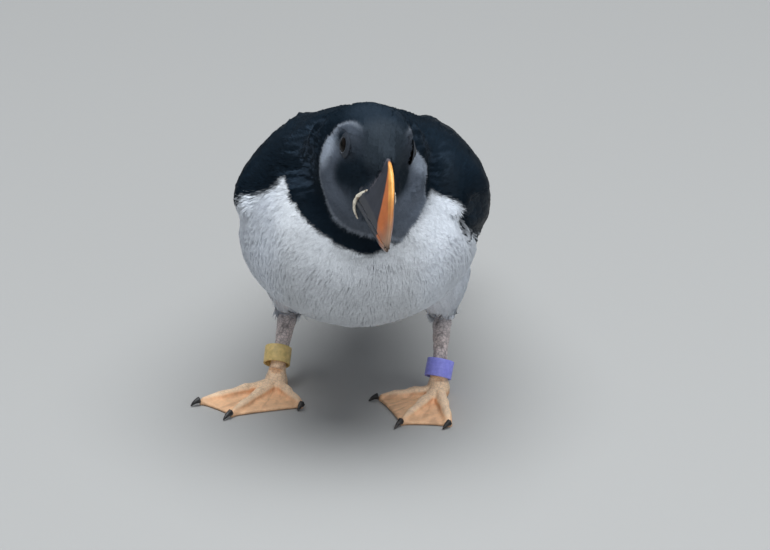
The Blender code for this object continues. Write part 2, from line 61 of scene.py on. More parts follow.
FLOOR_HALF_WIDTH, FLOOR_ROUGHNESS, SKY_STRENGTH = 6, 0.8, 0.22
LIGHT_AIM, SKY_LIGHT = (0, 0, 60), (0.93, 0.97, 1.0)
OVERCAST, FLOOR_GREY = (0.86, 0.92, 1.0), (0.42, 0.415, 0.405)


# Degrees that the head is turned about the upright, sideways and forward axes.
HEAD_LEFT, HEAD_PITCH, HEAD_TILT = 16.5, 12.0, 11.5


def middle_of(node):
    low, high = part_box(node)
    return (Vector(low) + Vector(high)) / 2


BIRD_ORIGIN = (middle_of("eye_left") + middle_of("eye_right")) / 2 - HEAD_OVER_GROUND * MM
HEAD_TURN = (
    Matrix.Rotation(math.radians(HEAD_LEFT), 3, "Z")
    @ Matrix.Rotation(math.radians(HEAD_PITCH), 3, "X")
    @ Matrix.Rotation(math.radians(HEAD_TILT), 3, "Y")
)


def on_bird(place):
    """A place in the bird's measures, in the CAD's metres."""
    return BIRD_ORIGIN + Vector(place) * MM


def add_object(name, data):
    obj = bpy.data.objects.new(name, data)
    bpy.context.scene.collection.objects.link(obj)
    return obj


def inside(finish):
    """A material's node tree and its shader."""
    return finish.node_tree, finish.node_tree.nodes["Principled BSDF"]


def new_finish(name):
    """A new material, with its node tree and its shader."""
    finish = bpy.data.materials.new(name)
    finish.use_nodes = True
    return finish, *inside(finish)


def add_soft_light(name, place, size, watts):
    lamp = bpy.data.lights.new(name, "AREA")
    lamp.shape = "DISK"
    lamp.size = size
    lamp.energy = watts
    lamp.color = SKY_LIGHT
    light = add_object(name, lamp)
    light.location = on_bird(place)
    light.rotation_euler = (on_bird(LIGHT_AIM) - light.location).to_track_quat("-Z", "Y").to_euler()


def build_room():
    turn, rise = math.radians(CAMERA_TURN), math.radians(CAMERA_RISE)
    towards = Vector((math.sin(turn) * math.cos(rise), -math.cos(turn) * math.cos(rise), math.sin(rise)))
    lens = bpy.data.cameras.new("camera")
    lens.lens = CAMERA_LENS
    lens.sensor_width = FILM_WIDTH
    lens.clip_start, lens.clip_end = 0.5, 20
    camera = add_object("camera", lens)
    camera.location = on_bird(CAMERA_AIM) + towards * CAMERA_AWAY
    camera.rotation_euler = (-towards).to_track_quat("-Z", "Y").to_euler()
    bpy.context.scene.camera = camera

    add_soft_light("sky", (150, -250, 1800), 2.2, 50)
    add_soft_light("front_fill", (500, -1700, 900), 1.6, 6)

    ground = bmesh.new()
    bmesh.ops.create_grid(ground, x_segments=1, y_segments=1, size=FLOOR_HALF_WIDTH)
    mesh = bpy.data.meshes.new("floor")
    ground.to_mesh(mesh)
    ground.free()
    floor = add_object("floor", mesh)
    paint, _, shader = new_finish("pale_floor")
    shader.inputs["Base Color"].default_value = (*FLOOR_GREY, 1)
    shader.inputs["Roughness"].default_value = FLOOR_ROUGHNESS
    mesh.materials.append(paint)

    world = bpy.data.worlds.new("overcast")
    world.use_nodes = True
    sky = world.node_tree.nodes["Background"]
    sky.inputs["Color"].default_value = (*OVERCAST, 1)
    sky.inputs["Strength"].default_value = SKY_STRENGTH
    bpy.context.scene.world = world
    bpy.context.scene.view_settings.view_transform = "Standard"


build_room()

# ----------------------------------------
# The outer shape of the coat: one surface through the feather tips of head, neck, trunk, wings and
# thighs. The skin and every feather are set from it.
# ----------------------------------------
COATED_NODES = ("head", "neck", "back", "belly", "wing_left", "wing_right")
COATED_NODES += ("thigh_left", "thigh_right")
UNDER_NODES = ("eye_left", "eye_right", "bill_upper", "bill_lower")
CREASE_FILL, NODE_GAP, COAT_GRAIN = 2.8, 0.3, 1.0
BILL_BASE = np.array((0.0, -14.5, -4.0))
ORIGIN = np.array(BIRD_ORIGIN)
HEAD_AXES = np.array(HEAD_TURN)
HEAD_MIDDLE = np.array(HEAD_OVER_GROUND)


def in_head(points):
    """Bird measures to head measures."""
    return (points - HEAD_MIDDLE) @ HEAD_AXES


def from_head(points):
    """Head measures to bird measures."""
    return np.asarray(points, float) @ HEAD_AXES.T + HEAD_MIDDLE


def unit(vectors):
    return vectors / np.maximum(np.linalg.norm(vectors, axis=-1, keepdims=True), 1e-9)


def ramp(value, start, end):
    """0 before start, 1 after end, and smooth between them."""
    part = np.clip((value - start) / (end - start), 0, 1)
    return part * part * (3 - 2 * part)


def mixed(first, second, share):
    return first + (second - first) * share[..., None]


def points_of(mesh):
    """A mesh's points in bird measures."""
    places = np.empty(len(mesh.vertices) * 3)
    mesh.vertices.foreach_get("co", places)
    return (places.reshape(-1, 3) - ORIGIN) / MM


def merged_node(name, grow):
    """A copy of a CAD node with its loose triangles joined, and grown by a few tenths of a millimetre."""
    bm = bmesh.new()
    bm.from_mesh(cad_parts[name].data)
    bmesh.ops.remove_doubles(bm, verts=bm.verts, dist=2e-6)
    bm.normal_update()
    for vert in bm.verts:
        vert.co += vert.normal * grow * MM
    return bm


def fused(name, nodes, grain, grow):
    """One closed skin round several CAD nodes, as points in bird measures and four-sided faces."""
    whole = bmesh.new()
    for node in nodes:
        bm = merged_node(node, grow)
        mesh = bpy.data.meshes.new(node + "_copy")
        bm.to_mesh(mesh)
        bm.free()
        whole.from_mesh(mesh)
        bpy.data.meshes.remove(mesh)
    mesh = bpy.data.meshes.new(name)
    whole.to_mesh(mesh)
    whole.free()
    obj = add_object(name, mesh)
    remesh = obj.modifiers.new("fuse", "REMESH")
    remesh.mode = "VOXEL"
    remesh.voxel_size = grain * MM
    shaped = obj.evaluated_get(bpy.context.evaluated_depsgraph_get()).to_mesh()
    points = points_of(shaped)
    corners = np.empty(len(shaped.loops), np.int64)
    shaped.loops.foreach_get("vertex_index", corners)
    bpy.data.objects.remove(obj)
    bpy.data.meshes.remove(mesh)
    return largest_shell(points, corners.reshape(-1, 4))


def largest_shell(points, faces):
    """Drops the small shells that lie inside the largest one."""
    label = np.arange(len(points))
    while True:
        low = label[faces].min(axis=1)
        fresh = label.copy()
        for k in range(4):
            np.minimum.at(fresh, faces[:, k], low)
        fresh = fresh[fresh]
        if (fresh == label).all():
            break
        label = fresh
    names, counts = np.unique(label, return_counts=True)
    kept = label == names[counts.argmax()]
    index = np.cumsum(kept) - 1
    return points[kept], index[faces[kept[faces[:, 0]]]]


def edges_of(faces):
    pairs = np.concatenate([faces[:, [k, (k + 1) % 4]] for k in range(4)])
    return np.unique(np.sort(pairs, axis=1), axis=0)


def neighbour_mean(values, edges):
    count = len(values)
    a, b = edges.T
    shared = np.bincount(a, minlength=count) + np.bincount(b, minlength=count)
    flat = values.reshape(count, -1)
    total = [
        np.bincount(a, flat[b, k], count) + np.bincount(b, flat[a, k], count)
        for k in range(flat.shape[1])
    ]
    return (np.stack(total, 1) / shared[:, None]).reshape(values.shape)


def smoothed(values, edges, rounds, keep_size=True):
    """Evened out over the surface. keep_size stops a shape from shrinking."""
    for _ in range(rounds):
        values = values + 0.5 * (neighbour_mean(values, edges) - values)
        if keep_size:
            values = values - 0.52 * (neighbour_mean(values, edges) - values)
    return values


def normals_of(points, faces):
    across = points[faces[:, 2]] - points[faces[:, 0]]
    along = points[faces[:, 3]] - points[faces[:, 1]]
    flat = np.cross(across, along)
    total = np.zeros_like(points)
    for k in range(4):
        for axis in range(3):
            total[:, axis] += np.bincount(faces[:, k], flat[:, axis], len(points))
    return unit(total)


coat_points, coat_faces = fused("coat", COATED_NODES + UNDER_NODES, COAT_GRAIN, CREASE_FILL)
coat_edges = edges_of(coat_faces)
coat_points = smoothed(coat_points, coat_edges, 20)


def evened(values, rounds):
    """Values of the coat's points, blended with their neighbours'."""
    return smoothed(values, coat_edges, rounds, keep_size=False)


def facing_out():
    return unit(evened(normals_of(coat_points, coat_faces), 5))


coat_normals = facing_out()
coat_points = smoothed(coat_points - coat_normals * (CREASE_FILL - NODE_GAP), coat_edges, 12)
coat_normals = facing_out()
EYE_SPOT = np.array((15.0, 0.0, 0.0))


def node_tree(names):
    """A search tree over CAD nodes in bird measures, and the node that each of its faces belongs to."""
    corners, faces, owner = [], [], []
    for index, name in enumerate(names):
        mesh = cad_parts[name].data
        base = len(corners)
        corners += [tuple(point) for point in points_of(mesh)]
        faces += [tuple(base + k for k in face.vertices) for face in mesh.polygons]
        owner += [index] * len(mesh.polygons)
    return BVHTree.FromPolygons(corners, faces), np.array(owner)


def cover_bill_base():
    """Lifts the coat's surface out of the horn where the face's feathers run on to the bill."""
    tree, _ = node_tree(("bill_upper", "bill_lower"))
    near = np.flatnonzero(np.linalg.norm(in_head(coat_points) - BILL_BASE, axis=1) < 18)
    for index in near:
        place, ahead = Vector(coat_points[index]), Vector(coat_normals[index])
        hit, normal, _, distance = tree.ray_cast(place, ahead, 4.0)
        if hit and normal.dot(ahead) > 0:
            coat_points[index] += coat_normals[index] * (distance + 0.2)


def eye_distance(head):
    """How far places in head measures are from the nearer eye's middle."""
    left, right = head - EYE_SPOT, head + EYE_SPOT * (1, -1, -1)
    return np.minimum(np.linalg.norm(left, axis=1), np.linalg.norm(right, axis=1))


def draw_in_cheeks():
    """The plumage lies flatter on the cheeks than on the hood behind them."""
    head = in_head(coat_points)
    low = ramp(head[:, 2], 8, -2) * ramp(head[:, 2], -36, -26)
    share = low * ramp(head[:, 1], 26, 12) * ramp(head[:, 1], -14, -6)
    head[:, 0] *= 1 - np.where(head[:, 0] > 0, 0.11, 0.06) * share
    coat_points[:] = from_head(head)


draw_in_cheeks()
cover_bill_base()
coat_points = smoothed(coat_points, coat_edges, 2)


def lay_shoulders():
    """The shoulder feathers fall over the wing's upper edge, so that no step shows there."""
    tree, owner = node_tree(COATED_NODES)
    nearest = np.array([owner[tree.find_nearest(Vector(point))[2]] for point in coat_points])
    wing = (nearest >= COATED_NODES.index("wing_left")) & (nearest <= COATED_NODES.index("wing_right"))
    wing = evened(wing.astype(float), 14)
    edge = ramp(4 * wing * (1 - wing), 0.1, 0.8) * ramp(coat_points[:, 2], 88, 98)
    edge = evened(edge, 20)
    even = evened(coat_points, 60)
    return mixed(coat_points, even, edge), nearest


coat_points, coat_node = lay_shoulders()


def press_face():
    """Hollows that the feathers leave: round each eye, and the fine furrow that runs back from it."""
    head = in_head(coat_points)
    hollow = 0.7 * np.exp(-((eye_distance(head) / 4.5) ** 2))
    along = ramp(head[:, 1], 3.5, 5.0) * ramp(head[:, 1], 13, 9) * (np.abs(head[:, 0]) > 6)
    off_line = head[:, 2] - np.interp(head[:, 1], (3.5, 8, 13), (0.8, -0.4, -2.5))
    return coat_points - coat_normals * (hollow + 0.5 * along * np.exp(-((off_line / 0.9) ** 2)))[:, None]


coat_points = press_face()
coat_normals = facing_out()

GRID_CELL = 2.0
GRID_EDGE = 14
grid_low = coat_points.min(axis=0) - GRID_EDGE
grid_size = np.ceil((coat_points.max(axis=0) + GRID_EDGE - grid_low) / GRID_CELL).astype(int)


def nearest_grid():
    """For each small cell of space near the coat, the coat point that is nearest to it."""
    place = np.floor((coat_points - grid_low) / GRID_CELL).astype(int)
    owner = np.full(grid_size, -1)
    owner[tuple(place.T)] = np.arange(len(coat_points))
    middles = np.stack(np.meshgrid(*[np.arange(n) for n in grid_size], indexing="ij"), -1)
    middles = grid_low + (middles + 0.5) * GRID_CELL
    away = np.where(owner >= 0, np.linalg.norm(middles - coat_points[owner], axis=-1), 1e9)
    for _ in range(6):
        for axis in range(3):
            for step in (1, -1):
                other = np.roll(owner, step, axis)
                distance = np.linalg.norm(middles - coat_points[other], axis=-1)
                closer = (other >= 0) & (distance < away)
                owner = np.where(closer, other, owner)
                away = np.where(closer, distance, away)
    return owner


grid_owner = nearest_grid()


def onto_coat(points):
    """The places on the coat's surface under these points, and the coat points that they are nearest to."""
    cell = np.floor((points - grid_low) / GRID_CELL).astype(int)
    cell = np.clip(cell, 0, grid_size - 1)
    near = grid_owner[tuple(np.moveaxis(cell, -1, 0))]
    normal = coat_normals[near]
    off = ((points - coat_points[near]) * normal).sum(-1, keepdims=True)
    return points - normal * off, near


# ----------------------------------------
# The markings: blue-black above, white below, and the darkish grey face disc of a bird in its winter dress,
# with painted sheen on the crown, nape and neck sides and painted shade low on the white front.
# They are worked out from places on the bird, so that skin and feathers carry the same ones.
# ----------------------------------------
WHITE = np.array((0.78, 0.82, 0.88))
BLACK = np.array((0.0042, 0.0095, 0.016))
# The crown's and nape's colours are painted sheen: paler than the black, for the light from above that falls
# on them.
CROWN_SHEEN = np.array((0.017, 0.028, 0.042))
NAPE_SHEEN = np.array((0.014, 0.025, 0.038))
# The next colour is painted sheen: pale blue streaks for the light that the neck's silky feathers catch.
SHEEN_STREAK_COLOUR = np.array((0.050, 0.076, 0.112))
FOREHEAD = np.array((0.034, 0.045, 0.058))
LOWER_CHEEK = np.array((0.11, 0.13, 0.165))
UPPER_FACE = np.array((0.058, 0.070, 0.090))
PALE_CHEEK = np.array((0.40, 0.45, 0.53))
LORES = np.array((0.008, 0.016, 0.025))
DISC_RIM = np.array((0.26, 0.29, 0.34))
THROAT = np.array((0.10, 0.115, 0.14))
# The white's upper edge across the breast: sideways place and height.
BREAST_EDGE = ((-46, 88), (-40, 94), (-30, 102), (-24.4, 107), (-20.3, 100), (-10.6, 93.2))
BREAST_EDGE += ((1, 86.4), (7, 85), (14, 86.8), (20, 90), (23.5, 95), (28, 101.5), (35, 98.6))
BREAST_EDGE += ((41, 93.5), (44, 85))
# The white's upper edge along the side: place from front to back, and height.
FLANK_EDGE = ((-60, 100), (-52, 92), (-46, 87), (-35, 82.5), (-14, 71.5), (32, 61.5), (78, 62), (100, 58))
# Soft patches on the face, in head measures: forward place, height, reach and colour.
FACE_PATCHES = (
    (-5.0, 4.5, 6.0, 4.5, UPPER_FACE),
    (1.0, 6.5, 6.0, 3.0, UPPER_FACE * 1.25),
    (-10.0, -6.0, 7.5, 10.5, LORES),
    (-5.0, -9.0, 3.6, 5.5, LORES),
    (3.0, 1.2, 2.2, 3.0, LORES),
    (7.0, -0.4, 3.4, 0.9, LORES * 3),
    (5.2, -7.2, 3.2, 6.5, PALE_CHEEK),
    (8.4, 0.5, 2.2, 4.5, PALE_CHEEK * 0.8),
    (-2.0, -19.5, 6.5, 4.5, LOWER_CHEEK * 1.25),
)
lattice = np.random.default_rng(7).random((32, 32, 32))


def ripple(points, size, shift=0.0):
    """Smooth random values from 0 to 1, changing over about this many millimetres."""
    place = points / size + 100.0 + shift
    low = np.floor(place).astype(int)
    part = place - low
    part = part * part * (3 - 2 * part)
    total = 0.0
    for dx in (0, 1):
        for dy in (0, 1):
            for dz in (0, 1):
                value = lattice[(low[..., 0] + dx) % 32, (low[..., 1] + dy) % 32, (low[..., 2] + dz) % 32]
                wx = part[..., 0] if dx else 1 - part[..., 0]
                wy = part[..., 1] if dy else 1 - part[..., 1]
                wz = part[..., 2] if dz else 1 - part[..., 2]
                total = total + value * wx * wy * wz
    return total


# The edge of the face's feathers against the bill, in head measures: height and forward place.
BILL_EDGE = ((-26, -11), (-20.7, -11.8), (-17.3, -11.9), (-13.8, -12.6), (-8.8, -16), (-4.7, -16.5))
BILL_EDGE += ((-0.7, -16.5), (2.7, -15.3), (5.4, -13.9), (9, -12))


def ahead_of_feathers(head):
    """How far a place in head measures lies ahead of the feathers' edge, out on the bill."""
    return np.interp(head[..., 2], *zip(*BILL_EDGE)) - head[..., 1]


def white_share(points, wing):
    """1 where the plumage is white."""
    x, y, z = points.T
    front = np.interp(x, *zip(*BREAST_EDGE))
    side = np.interp(y, *zip(*FLANK_EDGE))
    edge = front + (side - front) * ramp(y, -64, -50)
    edge = edge + 2.5 * (ripple(points, 5) - 0.5) + 1.8 * (ripple(points, 2.2) - 0.5)
    return ramp(edge - z, -1.2, 1.2) * (1 - wing)


def disc_shape(head):
    """Below 1 on the face disc, 1 along its edge, and above 1 outside it."""
    x, y, z = head.T
    middle = -3.5 + 0.21 * np.minimum(z, 0)
    return ((np.abs(y - middle) / 12.3) ** 3 + (np.abs(z + 11.5) / 20.5) ** 3) ** (1 / 3)


def plumage_colour(points, wing):
    """The plumage's colour at places in bird measures, with painted sheen on the crown, nape and neck sides
    and painted shade low on the white front. wing is 1 on the wings.
    """
    head = in_head(points)
    hood = np.broadcast_to(BLACK, points.shape)
    patchy = ripple(points, 14, 3)
    hood = hood * (0.8 + 0.5 * patchy)[:, None]
    x, y, z = head.T
    # Painted sheen: the crown and the top of the nape are painted paler, as the light from above lights them.
    top_sheen_share = ramp(z, 4, 12) * ramp(y, 32, 14)
    colour = mixed(hood, CROWN_SHEEN, top_sheen_share * ramp(y, 24, 8))
    colour = mixed(colour, NAPE_SHEEN, top_sheen_share * ramp(y, 6, 22) * 0.8)
    out = head - BILL_BASE
    far = np.linalg.norm(out, axis=1)
    # Painted sheen: fine pale streaks on the sides of the neck stand for the light that the feathers there
    # catch.
    sheen_streak_ripple = ripple(out * (38 / np.maximum(far, 1))[:, None] + (far * 0.07)[:, None], 0.85, 5)
    side = np.abs(points[:, 0] - 4)
    sheen_streak_share = ramp(sheen_streak_ripple, 0.4, 0.75) * np.where(x > 0, 0.35, 0.5 + 0.4 * ramp(patchy, 0.35, 0.65))
    sheen_streak_share = sheen_streak_share * ramp(side, 10, 18) * ramp(side, 34, 26) * ramp(points[:, 2], 100, 108)
    colour = mixed(colour, SHEEN_STREAK_COLOUR, sheen_streak_share * ramp(y, 6, 12) * ramp(points[:, 1], -34, -42) * 0.8)
    brow = ramp(y, 2, -6) * ramp(z, -6, 2) * ramp(np.abs(x), 12, 7)
    colour = mixed(colour, FOREHEAD, brow * 0.9)
    from_rim = disc_shape(head)
    face = np.broadcast_to(LOWER_CHEEK, points.shape)
    face = mixed(face, THROAT, ramp(z, -24, -32))
    for forward, height, reach_y, reach_z, tint in FACE_PATCHES:
        away = ((y - forward) / reach_y) ** 2 + ((z - height) / reach_z) ** 2
        share = np.where((x > 0) & (forward > 4.9), 0.5, 0.96)
        face = mixed(face, tint, ramp(np.sqrt(away), 1.5, 0.35) * share)
    front_top = ramp(z - np.interp(y, (-14, -10, -8, -5, 0), (-3, 1.5, 4.5, 7.5, 10)), -3.5, 2.5)
    on_disc = ramp(from_rim, 1.03, 0.95) * (1 - front_top) * (y < 14)
    colour = mixed(colour, face, on_disc)
    rim = np.exp(-(((from_rim - 0.985) / 0.035) ** 2)) * np.maximum(ramp(y, -6, 4), ramp(z, -22, -26))
    rim = rim * (y < 14)
    colour = mixed(colour, DISC_RIM, rim * 0.7)
    white = white_share(points, wing) * ramp(np.linalg.norm(head, axis=1), 30, 36)
    # Painted shade: the white is painted darker and warmer lower down on the front of the breast and belly.
    lower_front_shade = np.interp(points[:, 2], (45, 62, 85, 100), (0.76, 0.80, 0.92, 1.0))[:, None] * (1.0, 0.985, 0.96)
    lower_front_shade = lower_front_shade ** (ramp(points[:, 2], 40, 48) * ramp(np.abs(points[:, 0]), 32, 20))[:, None]
    colour = mixed(colour, WHITE * lower_front_shade * (0.90 + 0.16 * ripple(points, 9, 8))[:, None], white)
    return colour


# ----------------------------------------
# The skin: one closed surface under the whole coat, as deep below the feather tips as the plumage is
# thick there, carrying the markings as down does. The real one is thin skin with short grey down.
# ----------------------------------------
on_wing = np.isin(coat_node, [COATED_NODES.index("wing_left"), COATED_NODES.index("wing_right")])
# The breast's feathers puff out over the right wing's front edge: height at the far side, slope and rear.
PUFF_HEIGHT, PUFF_SLOPE, PUFF_FAR_SIDE, PUFF_REAR = 90.5, 0.6, 52, -36
wavy = 5 * (ripple(coat_points, 4, 17) - 0.5)
puff_top = PUFF_HEIGHT + PUFF_SLOPE * (coat_points[:, 0] + PUFF_FAR_SIDE) + wavy
breast_over_wing = (coat_points[:, 0] < 0) & (coat_points[:, 2] < puff_top)
breast_over_wing = breast_over_wing & (coat_points[:, 1] < PUFF_REAR + wavy)
on_wing = evened((on_wing & ~breast_over_wing).astype(float), 2)
on_thigh = np.isin(coat_node, [COATED_NODES.index("thigh_left"), COATED_NODES.index("thigh_right")])
on_thigh = evened(on_thigh.astype(float), 4)
deep_in_wing = evened(on_wing, 36)
flatness = np.linalg.norm(evened(coat_normals, 30), axis=1)
coat_head = in_head(coat_points)
coat_white = white_share(coat_points, ramp(on_wing, 0.4, 0.6))


def coat_depths():
    """How deep the plumage is at each coat point, in millimetres."""
    from_bill = np.linalg.norm(coat_head - BILL_BASE, axis=1)
    depth = np.interp(from_bill, (0, 8, 20, 35, 55, 80), (0.5, 0.8, 1.3, 2.2, 3.2, 3.8))
    depth = depth * (1 + 0.15 * coat_white)
    depth = depth + (0.9 * np.interp(flatness, (0.5, 0.8), (0.4, 1)) - depth) * on_wing
    thigh_depth = np.interp(coat_points[:, 2], (24, 40), (1.2, 3.4))
    depth = np.where(on_thigh > 0.3, np.minimum(depth, thigh_depth), depth)
    return evened(depth, 8)


coat_depth = coat_depths()
from_eye = eye_distance(coat_head)
skin_points = coat_points - coat_normals * coat_depth[:, None]
skin_points = smoothed(skin_points, coat_edges, 4)
skin_points -= coat_normals * (2.4 * ramp(from_eye, 4.6, 2.4))[:, None]


def add_colours(mesh, name, colours):
    """Stores up to three values for each point of a mesh, as a colour."""
    layer = mesh.color_attributes.new(name, "FLOAT_COLOR", "POINT")
    packed = np.ones((len(mesh.vertices), 4), np.float32)
    packed[:, : colours.shape[1]] = colours
    layer.data.foreach_set("color", packed.ravel())


def add_piece(name, points, faces, finish, colours, colour_name="plumage"):
    """A mesh object from points in bird measures and faces, in one array or in one for each kind."""
    mesh = bpy.data.meshes.new(name)
    mesh.vertices.add(len(points))
    mesh.vertices.foreach_set("co", (ORIGIN + points * MM).astype(np.float32).ravel())
    kinds = [faces] if isinstance(faces, np.ndarray) else faces
    sizes = np.concatenate([np.full(len(kind), kind.shape[1]) for kind in kinds])
    corners = np.concatenate([kind.ravel() for kind in kinds])
    mesh.loops.add(len(corners))
    mesh.loops.foreach_set("vertex_index", corners.astype(np.int32))
    mesh.polygons.add(len(sizes))
    mesh.polygons.foreach_set("loop_start", (np.cumsum(sizes) - sizes).astype(np.int32))
    mesh.polygons.foreach_set("use_smooth", np.full(len(sizes), True))
    mesh.update(calc_edges=True)
    add_colours(mesh, colour_name, colours)
    mesh.materials.append(finish)
    return add_object(name, mesh)


def feed(tree, socket, value):
    """Sets a node's input to a value, or links it to the output that drives it."""
    if isinstance(value, bpy.types.NodeSocket):
        tree.links.new(value, socket)
    else:
        socket.default_value = value


def add_node(tree, kind, inputs, output, **settings):
    """Adds a node with these inputs and settings, and gives the output that is wanted."""
    node = tree.nodes.new(kind)
    for setting, value in settings.items():
        setattr(node, setting, value)
    for name, value in inputs.items():
        feed(tree, node.inputs[name], value)
    return node.outputs[output]


def stored(tree, layer):
    """The colours that a piece carries under this name."""
    return add_node(tree, "ShaderNodeVertexColor", {}, "Color", layer_name=layer)


def grain_in(tree, scale, detail):
    """Fine random grain that runs through a piece."""
    place = add_node(tree, "ShaderNodeTexCoord", {}, "Object")
    return add_node(tree, "ShaderNodeTexNoise", {"Vector": place, "Scale": scale, "Detail": detail}, "Fac")


def between(tree, amount, low, high):
    """An amount from 0 to 1 carried over to the range from low to high."""
    return add_node(tree, "ShaderNodeMapRange", {"Value": amount, "To Min": low, "To Max": high}, "Result")


def worked(tree, operation, first, second=0.5):
    return add_node(tree, "ShaderNodeMath", {0: first, 1: second}, "Value", operation=operation)


def scale_colour(tree, socket, colour, amount):
    """Feeds an input with a colour made lighter or darker by an amount."""
    shaded = add_node(tree, "ShaderNodeVectorMath", {0: colour, "Scale": amount}, "Vector", operation="SCALE")
    feed(tree, socket, shaded)


def add_relief(tree, shader, height, strength, distance, invert=False):
    """Adds a fine relief to the shader, over any that it has already."""
    inputs = {"Height": height, "Strength": strength, "Distance": distance}
    if shader.inputs["Normal"].is_linked:
        inputs["Normal"] = shader.inputs["Normal"].links[0].from_socket
    feed(tree, shader.inputs["Normal"], add_node(tree, "ShaderNodeBump", inputs, "Normal", invert=invert))


# Grain in a finish: its darkest and palest tone, how far the gloss wanders, and its depth in metres.
DARK_GRAIN, PALE_GRAIN, GLOSS_SPREAD, GRAIN_DEPTH = 0.82, 1.18, 0.12, 0.0002


def grained_finish(name, roughness, grain, bump, shine=0.5, colours="plumage"):
    """A finish with the colours that the piece carries, and fine grain in colour, gloss and relief."""
    finish, tree, shader = new_finish(name)
    shader.inputs["Specular IOR Level"].default_value = shine
    colour = stored(tree, colours)
    barbs = grain_in(tree, grain, 3)
    tones = between(tree, barbs, DARK_GRAIN, PALE_GRAIN)
    scale_colour(tree, shader.inputs["Base Color"], colour, tones)
    gloss = between(tree, barbs, roughness - GLOSS_SPREAD, roughness + GLOSS_SPREAD)
    feed(tree, shader.inputs["Roughness"], gloss)
    add_relief(tree, shader, barbs, bump, GRAIN_DEPTH)
    return finish


down_finish = grained_finish("down", 0.85, 900, 0.4, 0.03)
soft_finish = grained_finish("soft_plumage", 0.6, 1500, 0.2, 0.06)
vane_finish = grained_finish("vaned_plumage", 0.5, 1200, 0.3, 0.07)


# Barbs: how many waves of them, how far they slant, how dark the gaps are, and the shaft's width and gloss.
BARB_WAVES, BARB_SLANT, BARB_TONE, SHAFT_WIDTH, SHAFT_TONE = 60, 0.45, 0.10, 0.07, 0.25
BARB_RELIEF, BARB_DEPTH = 0.25, 0.0001


def add_barbs(finish):
    """Barbs run out and forwards from each shaft: fine ridges, darker between, and a paler shaft line."""
    tree, shader = inside(finish)
    parts = tree.nodes.new("ShaderNodeSeparateColor")
    feed(tree, parts.inputs["Color"], stored(tree, "barbs"))
    across = worked(tree, "ABSOLUTE", parts.outputs["Red"])
    slant = worked(tree, "SUBTRACT", parts.outputs["Green"], worked(tree, "MULTIPLY", across, BARB_SLANT))
    wave = worked(tree, "SINE", worked(tree, "MULTIPLY", slant, BARB_WAVES))
    shaft = worked(tree, "MULTIPLY", worked(tree, "LESS_THAN", across, SHAFT_WIDTH), SHAFT_TONE)
    tone = worked(tree, "ADD", worked(tree, "MULTIPLY", wave, BARB_TONE), shaft)
    base = shader.inputs["Base Color"]
    scale_colour(tree, base, base.links[0].from_socket, worked(tree, "ADD", tone, 1.0))
    add_relief(tree, shader, wave, BARB_RELIEF, BARB_DEPTH)


add_barbs(vane_finish)

coat_colour = plumage_colour(coat_points, ramp(on_wing, 0.4, 0.6))
down_colour = coat_colour * (0.75 + 0.2 * coat_white)[:, None]
skin = add_piece("skin", skin_points, coat_faces, down_finish, down_colour)


UNWRAP_ANGLE, ISLAND_MARGIN = 66, 0.004


def unwrap_skin():
    bpy.context.view_layer.objects.active = skin
    skin.select_set(True)
    skin.data.uv_layers.new(name="OFBake")
    bpy.ops.object.mode_set(mode="EDIT")
    bpy.ops.mesh.select_all(action="SELECT")
    bpy.ops.uv.smart_project(angle_limit=math.radians(UNWRAP_ANGLE), island_margin=ISLAND_MARGIN)
    bpy.ops.object.mode_set(mode="OBJECT")
    skin.select_set(False)
    places = np.empty(len(skin.data.loops) * 2)
    skin.data.uv_layers["OFBake"].uv.foreach_get("vector", places)
    return places.reshape(-1, 4, 2)


skin_uv = unwrap_skin()
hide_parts(*COATED_NODES)
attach(skin, "root")

# ----------------------------------------
# The lie of the coat: feathers point away from the bill over the head, down the neck and breast,
# back along the trunk, down the thighs, and along the folded wings to their tips.
# ----------------------------------------
ALONG_TRUNK = np.array((0.0, 0.98, -0.18))
DOWN_BREAST = np.array((0.0, 0.30, -0.95))


def coat_flow():
    away = unit(coat_points - from_head(BILL_BASE))
    beside = coat_white * ramp(np.abs(coat_points[:, 0] - 4), 16, 32) * ramp(coat_points[:, 1], -30, -45)
    flow = mixed(away, DOWN_BREAST, 0.85 * beside)
    flow = mixed(flow, ALONG_TRUNK, ramp(coat_points[:, 1], -60, 20))
    side = np.where(coat_points[:, 0] > 0, 1.0, -1.0)
    wingwards = np.stack([-0.11 * side, np.full_like(side, 0.97), np.full_like(side, -0.17)], 1)
    flow = mixed(flow, wingwards, ramp(on_wing, 0.2, 0.8))
    flow = mixed(flow, np.array((0.0, 0.25, -0.97)), ramp(on_thigh, 0.2, 0.9))
    for _ in range(20):
        flow = flow - coat_normals * (flow * coat_normals).sum(1, keepdims=True)
        flow = unit(0.4 * unit(flow) + 0.6 * neighbour_mean(unit(flow), coat_edges))
    return unit(flow - coat_normals * (flow * coat_normals).sum(1, keepdims=True))


flow = coat_flow()
by_wing = np.interp(deep_in_wing, (0.02, 0.15, 0.35), (1.0, 0.5, 0.3))
by_edge = np.interp(flatness, (0.5, 0.85), (0.2, 1.0))
face_areas = 0.5 * np.linalg.norm(
    np.cross(
        coat_points[coat_faces[:, 2]] - coat_points[coat_faces[:, 0]],
        coat_points[coat_faces[:, 3]] - coat_points[coat_faces[:, 1]],
    ),
    axis=1,
)


